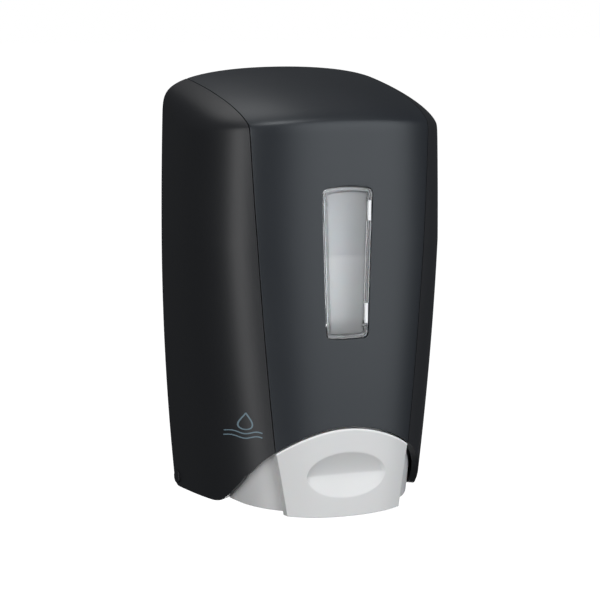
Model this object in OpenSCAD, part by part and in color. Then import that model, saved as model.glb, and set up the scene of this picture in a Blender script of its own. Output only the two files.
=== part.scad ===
// Wall mounted soap dispenser: a hinged cover with a push lever, over a bottle with a pump.
// X runs to the right as seen from the front, the front faces -Y, the wall is the plane y = 0.
// The origin is the centre of the four wall screw holes.

/* [Cover outline] */
// Half width of the cover where it meets the wall
cover_half_w = 62; // [60:0.5:64]
// Depth of the cover from the wall to its front
cover_depth = 82; // [81:0.5:84]
// Height of the crown at the wall, above the origin
crown_z = 104; // [102:0.5:107]
// Height at which the front turns over into the crown
brow_z = 80; // [77:0.5:82]
// Height of the flat lower edge of the cheeks
hem_z = -101; // [-102:0.5:-100]
// How far the crown falls from the middle to the sides
crown_fall = 5; // [3:0.5:6]
// Height of the widest level of the body
waist_z = 22; // [15:1:30]
// Share of the width that is lost from the waist to the foot
foot_taper = 0.15; // [0.12:0.01:0.18]
// Share of the width that is lost from the waist to the crown
head_taper = 0.013; // [0:0.001:0.02]

/* [Cover walls] */
// Thickness of the front panel
panel_wall = 1.8; // [1.6:0.1:2]
// Thickness of the cheeks, and depth of the floor under the panel
cover_wall = 3.6; // [3.4:0.1:3.8]
// Width of the seam between the panel and a cheek
seam_gap = 0.35; // [0.3:0.05:0.5]
// Gap between the cover's rear edge and the wall
wall_gap = 0.6; // [0.5:0.1:0.8]

/* [Window] */
// Half width of the window at its top
window_top_half_w = 13.1; // [11:0.1:15]
// Half width of the window at its bottom
window_foot_half_w = 10.9; // [9:0.1:13]
// Height of the window's top corners
window_top_z = 49.5; // [40:0.5:52]
// Height of the window's bottom corners
window_foot_z = -21; // [-24:0.5:-10]
// Rise of the window's curved top edge
window_top_bow = 1.3; // [0.5:0.1:3]
// Fall of the window's curved bottom edge
window_foot_bow = 0.5; // [0.2:0.1:3]
// Radius of the window's corners
window_corner_r = 2.5; // [2:0.5:4]

/* [Arch and lever] */
// Height of the arch over the lever
arch_z = -63; // [-64:0.5:-62]
// Half width of the pad at its top corners
pad_top_half_w = 34.3; // [33:0.1:34.6]
// Half width of the pad at its bottom corners
pad_foot_half_w = 29.2; // [27:0.1:31]
// Height of the pad's bottom edge in the middle
pad_foot_z = -106; // [-107:0.5:-105]

/* [Wall fixing] */
// Distance between the wall screws across
screw_pitch_x = 70; // [60:1:76]
// Distance between the wall screws upwards
screw_pitch_z = 110; // [100:1:114]
// Radius of the wall screw holes
screw_hole_r = 2.4; // [2:0.1:2.6]

/* [Refill] */
// Half width of the bottle
bottle_half_w = 46; // [42:0.5:46]
// Half depth of the bottle
bottle_half_d = 28; // [25:0.5:28]
// Height of the bottle's closed end
bottle_top_z = 70; // [60:1:71]

/* [Hidden] */
$fn = 48;

// Shape of the skin: superellipse powers of the plan and of the side view
plan_side_power = 3;
plan_front_power = 3.6;
crown_front_power = 1.2;
crown_top_power = 1.65;
lean_top = 0.1;
lean_foot = -0.175;
waist_to_foot = 149;
waist_to_crown = 59;
crown_steps = 12;
flank_steps = 8;
skin_half_steps = 12;
skin_foot_z = -112;
seam_top_half_w = 48.9;

// Seam and arch curves, as seen from the front
seam_mid_half_w = 41.2;
seam_slope = 0.0756;
seam_bend = 0.0002;
arch_curve = 0.0085;
arch_drop = 9.5;
arch_drop_half_w = 48.4;
arch_power = 8.5;

toe_y = -42;
toe_r = 26;

// Lever
lever_offset = 5;
lever_wall = 2.4;
pivot_y = -56;
pivot_z = -58;
lever_top_z = -53;
lever_back_y = -38;
pad_offset = 0.5;
pad_gap = 0.6;
ear_r = 4.5;
lever_pin_r = 1.6;
run_gap = 0.05;
recess_z = -86;
recess_half_w = 20.2;
recess_half_h = 10.8;
recess_depth = 3.2;

// Cover hinge
hinge_y = -5.2;
hinge_z = -96;
knuckle_r = 4.4;
hinge_pin_r = 1.5;

// Pump
pump_y = -36;
neck_r = 15;
neck_bore_r = 12.5;
collar_r = 18;
chamber_r = 7.5;
stem_r = 4;
ball_r = 2.6;
cage_top_z = -18.2;
cage_bore_r = 1.9;
flange_z = -69.7;
nozzle_tip_z = -94;

/* Skin of the cover. A ring runs round the body from wall to wall at one step of the side view;
   off is how far the skin lies inside the outer surface. */
function depth_at(off) = cover_depth - off;
function crown_step(i, off) =
    let (a = 90 * i / crown_steps)
    [-depth_at(off) * pow(sin(a), 2 / crown_front_power),
     brow_z + (crown_z - off - brow_z) * pow(cos(a), 2 / crown_top_power)];
function flank_step(i, off, foot) = [-depth_at(off), brow_z + (foot - brow_z) * i / flank_steps];
function side_view(off, foot) = concat(
    [for (i = [0 : crown_steps]) crown_step(i, off)],
    [for (i = [1 : flank_steps]) flank_step(i, off, foot)]);
function flank_share(z) =
    z < waist_z
    ? 1 - foot_taper * pow((z - waist_z) / waist_to_foot, 2)
    : 1 - head_taper * pow((z - waist_z) / waist_to_crown, 2);
function lean(z) = lean_top + lean_foot * max(0, waist_z - z) / waist_to_foot;
function setback(s, off) =
    depth_at(off) * (1 - pow(1 - pow(abs(s), plan_side_power), 1 / plan_front_power));
function wall_share(py, off) =
    pow(max(0, 1 - pow(max(0, 1 + py / depth_at(off)), plan_front_power)), 1 / plan_side_power);
function skin_point(s, step, off) =
    let (y = step[0] + setback(s, off), z = step[1] - crown_fall * s * s)
    [s * (cover_half_w - off) * flank_share(z) * (1 - lean(z) * y / depth_at(off)), y, z];
function ring(step, off) =
    let (s0 = wall_share(step[0], off))
    [for (j = [-skin_half_steps : skin_half_steps])
        skin_point(s0 * sin(90 * j / skin_half_steps), step, off)];
function wall_edge(off, foot) =
    [for (step = side_view(off, foot)) skin_point(wall_share(step[0], off), step, off)];

// Curves seen from the front
function seam_half_w(z) =
    z > brow_z
    ? seam_half_w(brow_z) + (seam_top_half_w - seam_half_w(brow_z)) * (z - brow_z) / (crown_z - brow_z)
    : seam_mid_half_w + seam_slope * z - seam_bend * z * z;
function arch_at(x) =
    arch_z - arch_curve * x * x - arch_drop * pow(abs(x) / arch_drop_half_w, arch_power);
function bow(x, half_w, rise) = rise * (1 - pow(x / half_w, 2));
function arc_points(cx, cz, r, from, to) =
    [for (i = [0 : 5]) let (a = from + (to - from) * i / 5) [cx + r * cos(a), cz + r * sin(a)]];

// Solid inside the skin at an offset; through > 0 carries it on behind the wall plane
module skin_solid(off, foot = skin_foot_z, through = 0) {
    steps = side_view(off, foot);
    front = [for (step = steps) each ring(step, off)];
    edge = wall_edge(off, foot);
    back = [for (p = edge) each [[p[0], through, p[2]], [-p[0], through, p[2]]]];
    points = concat(front, back);
    hull() polyhedron(points, [for (i = [0 : 3 : len(points) - 3]) [i, i + 1, i + 2]]);
}

// Extrudes an outline drawn as seen from the front
module front_prism(from_y, to_y) {
    translate([0, to_y, 0]) rotate([90, 0, 0]) linear_extrude(to_y - from_y) children();
}

// Extrudes an outline drawn as seen from the right, with Y across and Z up
module side_prism(from_x, to_x) {
    translate([from_x, 0, 0]) rotate([90, 0, 90]) linear_extrude(to_x - from_x) children();
}

module seam_outline(grow) {
    top = crown_z + 6;
    heights = [for (i = [0 : 10]) skin_foot_z + (top - skin_foot_z) * i / 10];
    polygon(concat([for (z = heights) [seam_half_w(z) + grow, z]],
                   [for (i = [10 : -1 : 0]) [-seam_half_w(heights[i]) - grow, heights[i]]]));
}

module arch_outline() {
    reach = 54;
    polygon(concat([for (i = [-18 : 18]) [reach * i / 18, arch_at(reach * i / 18)]],
                   [[reach, -140], [-reach, -140]]));
}

module window_outline(shrink) {
    r = window_corner_r - shrink;
    top = window_top_half_w - window_corner_r;
    foot = window_foot_half_w - window_corner_r;
    top_z = window_top_z - shrink;
    foot_z = window_foot_z + shrink;
    polygon(concat(
        arc_points(top, top_z - r, r, 0, 90),
        [for (i = [5 : -1 : -5]) [top * i / 6, top_z + bow(i, 6, window_top_bow)]],
        arc_points(-top, top_z - r, r, 90, 180),
        arc_points(-foot, foot_z + r, r, 180, 270),
        [for (i = [-5 : 5]) [foot * i / 6, foot_z - bow(i, 6, window_foot_bow)]],
        arc_points(foot, foot_z + r, r, 270, 360)));
}

module pad_outline() {
    top = [for (i = [-10 : 10]) [pad_top_half_w * i / 10, arch_at(pad_top_half_w * i / 10) - pad_gap]];
    foot = [for (i = [8 : -1 : -8]) [pad_foot_half_w * i / 8, pad_foot_z + 1.6 * pow(i / 8, 2)]];
    polygon(concat(top, foot));
}

module x_rod(r, from_x, to_x, y, z) {
    translate([from_x, y, z]) rotate([0, 90, 0]) cylinder(r = r, h = to_x - from_x);
}

module y_rod(r, from_y, to_y, x, z) {
    translate([x, to_y, z]) rotate([90, 0, 0]) cylinder(r = r, h = to_y - from_y);
}

module z_rod(r, from_z, to_z, x = 0, y = pump_y) {
    translate([x, y, from_z]) cylinder(r = r, h = to_z - from_z);
}

module block(x, y, z) {
    translate([x[0], y[0], z[0]]) cube([x[1] - x[0], y[1] - y[0], z[1] - z[0]]);
}

module both_sides() {
    children();
    mirror([1, 0, 0]) children();
}

// Wall unit ---------------------------------------------------------------------------------

plate_t = 3;
plate_foot_z = -88;
plate_inset = 5.2;
rim_t = 1.8;
rim_front_y = -8;
plate_corner_in = 1;
boss_r = 6;
boss_front_y = -5;
rib_half_t = 1;
guide_z = [72, 84];
guide_lip_y = -11.3;
lug_x = [42.5, 47.2];
lock_x = 6;

module plate_outline(inset) {
    edge = [for (p = wall_edge(plate_inset + inset, skin_foot_z)) if (p[2] > plate_foot_z) p];
    polygon(concat([for (p = edge) [p[0], p[2]]],
                   [[edge[len(edge) - 1][0] - plate_corner_in, plate_foot_z + inset]],
                   [[plate_corner_in - edge[len(edge) - 1][0], plate_foot_z + inset]],
                   [for (i = [len(edge) - 1 : -1 : 1]) [-edge[i][0], edge[i][2]]]));
}

module back_plate() {
    rim_gap_w = 12;
    color("dimgray") difference() {
        union() {
            front_prism(-plate_t, 0) plate_outline(0);
            difference() {
                front_prism(rim_front_y, 0) plate_outline(0);
                front_prism(rim_front_y - 1, 1) plate_outline(rim_t);
                block([-rim_gap_w, rim_gap_w], [-20, -plate_t], [60, 120]);
                block([-60, 60], [-20, -plate_t], [plate_foot_z - 1, plate_foot_z + 5]);
            }
            for (x = [-1, 1], z = [-1, 1])
                y_rod(boss_r, boss_front_y, 0, x * screw_pitch_x / 2, z * screw_pitch_z / 2);
            for (z = [-28, 0, 28]) block([-44, 44], [boss_front_y, -1], [z - rib_half_t, z + rib_half_t]);
            both_sides() {
                x_rod(knuckle_r, lug_x[0], lug_x[1], hinge_y, hinge_z);
                block(lug_x, [hinge_y, -wall_gap - 0.2], [hinge_z, plate_foot_z + 4]);
                block([lock_x + 0.3, lock_x + 2.8], [guide_lip_y + 1.5, -1], guide_z);
                block([lock_x - 1.6, lock_x + 2.8], [guide_lip_y, guide_lip_y + 1.5], guide_z);
                y_rod(cradle_boss_r, cradle_back_y, -1, cradle_screw_x, cradle_screw_z);
            }
        }
        for (x = [-1, 1], z = [-1, 1])
            y_rod(screw_hole_r, -9, 1, x * screw_pitch_x / 2, z * screw_pitch_z / 2);
        both_sides() {
            x_rod(hinge_pin_r, lug_x[0] - 1, lug_x[1] + 1, hinge_y, hinge_z);
            y_rod(cradle_screw_r, -6, -0.6, cradle_screw_x, cradle_screw_z);
        }
    }
}

module hinge_pins() {
    color("silver") both_sides() x_rod(hinge_pin_r, lug_x[0] + 0.2, knuckle_x[1] - 0.2, hinge_y, hinge_z);
}

cradle_screw_r = 1.6;
cradle_screw_head_r = 3.2;
cradle_boss_r = 4;
cradle_back_y = -5.2;
cradle_foot_z = -60;
cradle_screw_x = 15;
cradle_screw_z = -52;
cradle_half_w = 24;
cradle_front_y = -56;
shelf_z = [-31, -28];
neck_slot_r = 15.6;

module refill_cradle() {
    color("dimgray") difference() {
        union() {
            block([-cradle_half_w, cradle_half_w], [-8, cradle_back_y], [cradle_foot_z, shelf_z[1]]);
            block([-cradle_half_w, cradle_half_w], [cradle_front_y, cradle_back_y], shelf_z);
            both_sides() side_prism(cradle_half_w - 2.5, cradle_half_w)
                polygon([[-6, shelf_z[0] + 1], [cradle_front_y + 3, shelf_z[0] + 1], [-6, cradle_foot_z]]);
        }
        z_rod(neck_slot_r, shelf_z[0] - 1, shelf_z[1] + 1);
        block([-neck_slot_r, neck_slot_r], [cradle_front_y - 1, pump_y], [shelf_z[0] - 1, shelf_z[1] + 1]);
        both_sides() y_rod(cradle_screw_r + 0.4, -9, -4, cradle_screw_x, cradle_screw_z);
    }
}

module cradle_screws() {
    color("silver") both_sides() difference() {
        union() {
            y_rod(cradle_screw_r, -9, -0.9, cradle_screw_x, cradle_screw_z);
            y_rod(cradle_screw_head_r, -10, -8, cradle_screw_x, cradle_screw_z);
        }
        block([cradle_screw_x - 0.4, cradle_screw_x + 0.4], [-11, -9.3], [cradle_screw_z - 2, cradle_screw_z + 2]);
        block([cradle_screw_x - 2, cradle_screw_x + 2], [-11, -9.3], [cradle_screw_z - 0.4, cradle_screw_z + 0.4]);
    }
}

// Refill and pump ---------------------------------------------------------------------------

bottle_foot_z = -24;
bottle_y = -39;
bottle_wall = 1.4;
bottle_r = 12;
gasket_z = [-44, -43];
gasket_r = 14.5;
housing_r = 9;
housing_top_z = -10;
spout_bore_r = 3.2;
seal_z = [-42, -40];
seal_r = 6;
collar_z = [-48, -32];

module rounded_box(half_w, half_d, foot, top, r) {
    hull() for (x = [-1, 1], y = [-1, 1], z = [foot + r, top - r])
        translate([x * (half_w - r), bottle_y + y * (half_d - r), z]) sphere(r = r, $fn = 32);
}

module refill_bottle() {
    color("white", 0.8) difference() {
        union() {
            rounded_box(bottle_half_w, bottle_half_d, bottle_foot_z, bottle_top_z, bottle_r);
            z_rod(neck_r, gasket_z[1], bottle_foot_z + 4);
        }
        rounded_box(bottle_half_w - bottle_wall, bottle_half_d - bottle_wall,
                    bottle_foot_z + bottle_wall, bottle_top_z - bottle_wall, bottle_r - bottle_wall);
        z_rod(neck_bore_r, gasket_z[1] - 1, bottle_foot_z + 6);
    }
}

module pump_collar() {
    ribs = 24;
    color("white") difference() {
        union() {
            z_rod(collar_r - 0.6, collar_z[0], collar_z[1]);
            for (i = [0 : ribs - 1]) translate([0, pump_y, 0]) rotate([0, 0, i * 360 / ribs])
                block([collar_r - 1.2, collar_r], [-0.8, 0.8], [collar_z[0] + 1, collar_z[1] - 1]);
        }
        z_rod(neck_r + 0.3, collar_z[0] + 2, collar_z[1] + 1);
        z_rod(6, collar_z[0] - 1, collar_z[0] + 3);
    }
}

module neck_gasket() {
    color("gray") difference() {
        z_rod(gasket_r, gasket_z[0], gasket_z[1]);
        z_rod(housing_r + 0.2, gasket_z[0] - 1, gasket_z[1] + 1);
    }
}

module pump_housing() {
    color("whitesmoke") difference() {
        union() {
            z_rod(gasket_r, collar_z[0] + 2, gasket_z[0]);
            z_rod(housing_r, collar_z[0] + 2, housing_top_z);
            z_rod(4, housing_top_z - 1, housing_top_z + 4);
        }
        z_rod(chamber_r, collar_z[0] + 4.5, housing_top_z - 2);
        z_rod(2, housing_top_z - 3, housing_top_z + 5);
        z_rod(stem_r + run_gap, collar_z[0] + 1, collar_z[0] + 5);
    }
}

module inlet_cage() {
    color("gainsboro") difference() {
        z_rod(chamber_r, cage_top_z - 2.3, cage_top_z);
        z_rod(cage_bore_r, cage_top_z - 3, cage_top_z + 1);
        for (a = [0 : 60 : 300]) translate([0, pump_y, 0]) rotate([0, 0, a])
            z_rod(1, cage_top_z - 3, cage_top_z + 1, 4.6, 0);
    }
}

module inlet_ball() {
    color("silver") translate([0, pump_y, cage_top_z + 1.82]) sphere(r = ball_r);
}

spring_foot_z = -38.8;
spring_top_z = -20.6;

module pump_spring() {
    color("silver") difference() {
        z_rod(6.2, spring_foot_z, spring_top_z);
        z_rod(4.8, spring_foot_z - 1, spring_top_z + 1);
    }
}

module plunger_stem() {
    color("whitesmoke") difference() {
        union() {
            z_rod(stem_r, -69, -41);
            z_rod(6.9, -43, -39);
            z_rod(4.4, -39.5, -36);
        }
        z_rod(2.2, -70, -35);
        difference() {
            z_rod(chamber_r + 1, seal_z[0], seal_z[1]);
            z_rod(seal_r, seal_z[0] - 1, seal_z[1] + 1);
        }
    }
}

module piston_seal() {
    color("dimgray") difference() {
        z_rod(chamber_r - run_gap, seal_z[0], seal_z[1]);
        z_rod(seal_r, seal_z[0] - 1, seal_z[1] + 1);
    }
}

module nozzle() {
    color("white") difference() {
        union() {
            z_rod(13, flange_z, flange_z + 2.5);
            z_rod(6.5, flange_z, flange_z + 5);
            z_rod(5, nozzle_tip_z, flange_z + 1);
        }
        z_rod(stem_r, -69, flange_z + 6);
        z_rod(spout_bore_r, nozzle_tip_z - 1, -68);
    }
}

module outlet_valve() {
    color("orange") difference() {
        z_rod(spout_bore_r, -82, -79);
        z_rod(1.2, -81, -78);
        block([-1.5, 1.5], [pump_y - 0.15, pump_y + 0.15], [-83, -80]);
    }
}

// Lock --------------------------------------------------------------------------------------

module lock_slider() {
    color("darkgray") union() {
        block([-lock_x, lock_x], [-9.5, -3.3], [71, 83]);
        block([-4, 4], [-9.5, -3.3], [71, 88]);
        block([-4, 4], [-18, -9], [73.5, 75.5]);
        block([-4, 4], [-18, -15.2], [73.5, 78.8]);
    }
}

// Cover -------------------------------------------------------------------------------------

module foot_cuts() {
    toe = arc_points(toe_y, hem_z + toe_r, toe_r, 270, 205);
    block([-80, 80], [-90, 10], [-140, hem_z]);
    side_prism(-80, 80) polygon(concat(toe, [[-110, toe[len(toe) - 1][1]], [-110, -140], [toe_y, -140]]));
    front_prism(-100, 10) arch_outline();
    block([-80, 80], [-wall_gap, 10], [-140, 140]);
    difference() {
        block([-80, 80], [hinge_y, 10], [-140, hinge_z]);
        x_rod(knuckle_r + 0.6, -70, 70, hinge_y, hinge_z);
    }
}

module cover_shell() {
    color([0.16, 0.17, 0.18]) difference() {
        skin_solid(0);
        skin_solid(cover_wall, skin_foot_z - 4, 4);
        difference() {
            front_prism(-120, 20) seam_outline(seam_gap);
            skin_solid(panel_wall + 0.05, skin_foot_z - 4, 8);
        }
        front_prism(-120, -40) window_outline(0);
        foot_cuts();
    }
}

module front_panel() {
    color([0.20, 0.21, 0.22]) difference() {
        intersection() {
            skin_solid(0);
            front_prism(-120, 20) seam_outline(0);
        }
        skin_solid(panel_wall, skin_foot_z - 4, 4);
        front_prism(-120, -40) window_outline(0);
        foot_cuts();
    }
}

module window() {
    window_offset = 0.3;
    color([0.85, 0.9, 0.92], 0.4) difference() {
        intersection() {
            skin_solid(window_offset);
            front_prism(-120, -40) window_outline(0.3);
        }
        skin_solid(cover_wall - 0.3, skin_foot_z - 4, 4);
    }
}

knuckle_x = [47.5, 51.5];
rail_x = [48.5, 51.5];
rail_y = [-14, -8.6];
bar_z = [84, 88];
arm_z = [-50, -44];
ear_x = [34.5, 38.2];
bar_front_y = -70.6;

module cover_frame() {
    color("dimgray") difference() {
        union() {
            block([-rail_x[1], rail_x[1]], [rail_y[0], rail_y[0] + 3.5], bar_z);
            block([-7, 7], [rail_y[0], rail_y[0] + 2.5], [bar_z[0] - 4, bar_z[0] + 1]);
            block([-ear_x[1], ear_x[1]], [bar_front_y, -68], arm_z);
            both_sides() {
                x_rod(knuckle_r, knuckle_x[0], knuckle_x[1], hinge_y, hinge_z);
                block(knuckle_x, [rail_y[0], hinge_y], [hinge_z - 3, hinge_z + 4]);
                block(rail_x, rail_y, [hinge_z, bar_z[1]]);
                translate([0, 0, arm_z[0]]) linear_extrude(arm_z[1] - arm_z[0])
                    polygon([[48.5, -9], [51.5, -9], [50, -50], [40.5, -67.5], [36, bar_front_y], [36, -68],
                             [38, -66], [47, -49]]);
                side_prism(ear_x[0], ear_x[1])
                    polygon([[bar_front_y + 0.2, arm_z[0]], [bar_front_y + 0.2, arm_z[1]], [-51.5, arm_z[1]], [-51.5, pivot_z],
                             [-60.5, pivot_z], [-62, arm_z[0]]]);
                x_rod(ear_r, ear_x[0], ear_x[1], pivot_y, pivot_z);
            }
        }
        both_sides() {
            x_rod(hinge_pin_r + run_gap, knuckle_x[0] - 1, knuckle_x[1] + 1, hinge_y, hinge_z);
            x_rod(lever_pin_r + run_gap, ear_x[0] - 1, ear_x[1] + 1, pivot_y, pivot_z);
        }
    }
}

// Push lever --------------------------------------------------------------------------------

lug_in_x = 38.5;
lug_out_x = 44.6;
fork_screw_x = 12;
fork_screw_z = -80;
fork_screw_r = 1.4;
fork_screw_head_r = 2.8;

module lever_body() {
    color([0.82, 0.83, 0.84]) difference() {
        union() {
            intersection() {
                difference() {
                    skin_solid(lever_offset);
                    skin_solid(lever_offset + lever_wall, skin_foot_z - 4, 4);
                }
                side_prism(-60, 60) polygon([[-90, lever_top_z], [-51, lever_top_z], [lever_back_y, -72],
                    [lever_back_y, -97], [-47, -99], [-58, -101], [-73, -103], [-90, -103.6]]);
            }
            both_sides() {
                x_rod(ear_r, lug_in_x, lug_out_x, pivot_y, pivot_z);
                y_rod(3.4, -76, -73, fork_screw_x, fork_screw_z);
            }
        }
        both_sides() {
            x_rod(lever_pin_r, lug_in_x - 1, lug_out_x - 1, pivot_y, pivot_z);
            y_rod(fork_screw_r, -75.6, -70, fork_screw_x, fork_screw_z);
        }
    }
}

module lever_pad() {
    color([0.86, 0.87, 0.88]) difference() {
        intersection() {
            skin_solid(pad_offset);
            front_prism(-120, -40) pad_outline();
        }
        skin_solid(lever_offset - 0.05, skin_foot_z - 4, 4);
        translate([0, -cover_depth + pad_offset, recess_z])
            scale([recess_half_w, recess_depth, recess_half_h]) sphere(r = 1, $fn = 32);
    }
}

module lever_pins() {
    color("silver") both_sides() x_rod(lever_pin_r, ear_x[0] + 0.2, lug_out_x - 1.1, pivot_y, pivot_z);
}

roller_z = -72;
arm_x = [6.5, 10.5];
roller_r = 2;
fork_half_w = 16;

module lift_fork() {
    plate_y = [-73, -70.5];
    color("gainsboro") difference() {
        union() {
            block([-fork_half_w, fork_half_w], plate_y, [-86, -64]);
            both_sides() {
                block(arm_x, [plate_y[1] - 1, pump_y], [roller_z - 5, roller_z]);
                x_rod(roller_r, arm_x[0], arm_x[1], pump_y, roller_z);
            }
        }
        both_sides() y_rod(fork_screw_r + 0.3, -75, -70, fork_screw_x, fork_screw_z);
    }
}

module fork_screws() {
    color("silver") both_sides() union() {
        y_rod(fork_screw_r, -75.4, -70, fork_screw_x, fork_screw_z);
        y_rod(fork_screw_head_r, -70.5, -69, fork_screw_x, fork_screw_z);
    }
}

back_plate();
hinge_pins();
refill_cradle();
cradle_screws();
refill_bottle();
pump_collar();
neck_gasket();
pump_housing();
inlet_cage();
inlet_ball();
pump_spring();
plunger_stem();
piston_seal();
nozzle();
outlet_valve();
lock_slider();
cover_shell();
front_panel();
window();
cover_frame();
lever_body();
lever_pad();
lever_pins();
lift_fork();
fork_screws();
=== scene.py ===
"""Looks of the wall mounted soap dispenser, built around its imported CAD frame."""
import logging
import math
from dataclasses import dataclass, field
from enum import Enum
from typing import Callable, Sequence

import bmesh
import bpy
import numpy as np
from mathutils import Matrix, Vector


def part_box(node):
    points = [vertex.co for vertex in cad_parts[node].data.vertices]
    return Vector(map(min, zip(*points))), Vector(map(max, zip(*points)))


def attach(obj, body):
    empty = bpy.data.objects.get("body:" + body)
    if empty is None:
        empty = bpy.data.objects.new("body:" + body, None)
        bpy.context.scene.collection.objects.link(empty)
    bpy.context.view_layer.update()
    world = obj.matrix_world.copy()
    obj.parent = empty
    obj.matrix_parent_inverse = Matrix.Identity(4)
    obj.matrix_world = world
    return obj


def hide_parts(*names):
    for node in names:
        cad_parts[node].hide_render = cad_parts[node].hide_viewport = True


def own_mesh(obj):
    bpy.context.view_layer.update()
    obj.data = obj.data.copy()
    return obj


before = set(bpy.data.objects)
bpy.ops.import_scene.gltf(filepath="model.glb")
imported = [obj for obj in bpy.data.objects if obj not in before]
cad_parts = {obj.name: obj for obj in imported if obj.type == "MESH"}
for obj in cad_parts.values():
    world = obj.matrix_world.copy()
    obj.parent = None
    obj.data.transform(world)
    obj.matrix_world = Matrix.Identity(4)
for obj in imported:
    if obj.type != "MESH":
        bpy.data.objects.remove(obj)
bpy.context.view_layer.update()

MM = 0.001
LOG = logging.getLogger("soap_dispenser")
Array = np.ndarray
Surface = Callable[[Array, Array], Array]
Color = tuple[float, float, float]
Place = tuple[float, float]

# Shared axes of the mechanism in mm: depth and height, or the distance from the middle and height
HINGE: Place = (-5.2, -96.0)
PIVOT: Place = (-56.0, -58.0)
PUMP: Place = (0.0, -36.0)
FORK_SCREW: Place = (12.0, -80.0)
CRADLE_SCREW: Place = (15.0, -52.0)


class Body(Enum):
    """The moving groups of the CAD model."""

    WALL_UNIT = "wall_unit"
    VALVE_BALL = "valve_ball"
    PLUNGER = "plunger"
    LOCK = "lock"
    COVER = "cover"
    PUSH_LEVER = "push_lever"


class Side(Enum):
    """The two sides of the dispenser, as the sign of X."""

    LEFT = -1
    RIGHT = 1

    def span(self, near: float, far: float) -> list[float]:
        """Limits along X, the lower first, of what lies between two distances on this side."""
        return sorted((self.value * near, self.value * far))

    def at(self, place: Place) -> Place:
        """A place given for the right side, on this side."""
        return self.value * place[0], place[1]


# Outlines --------------------------------------------------------------------------------------


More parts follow.
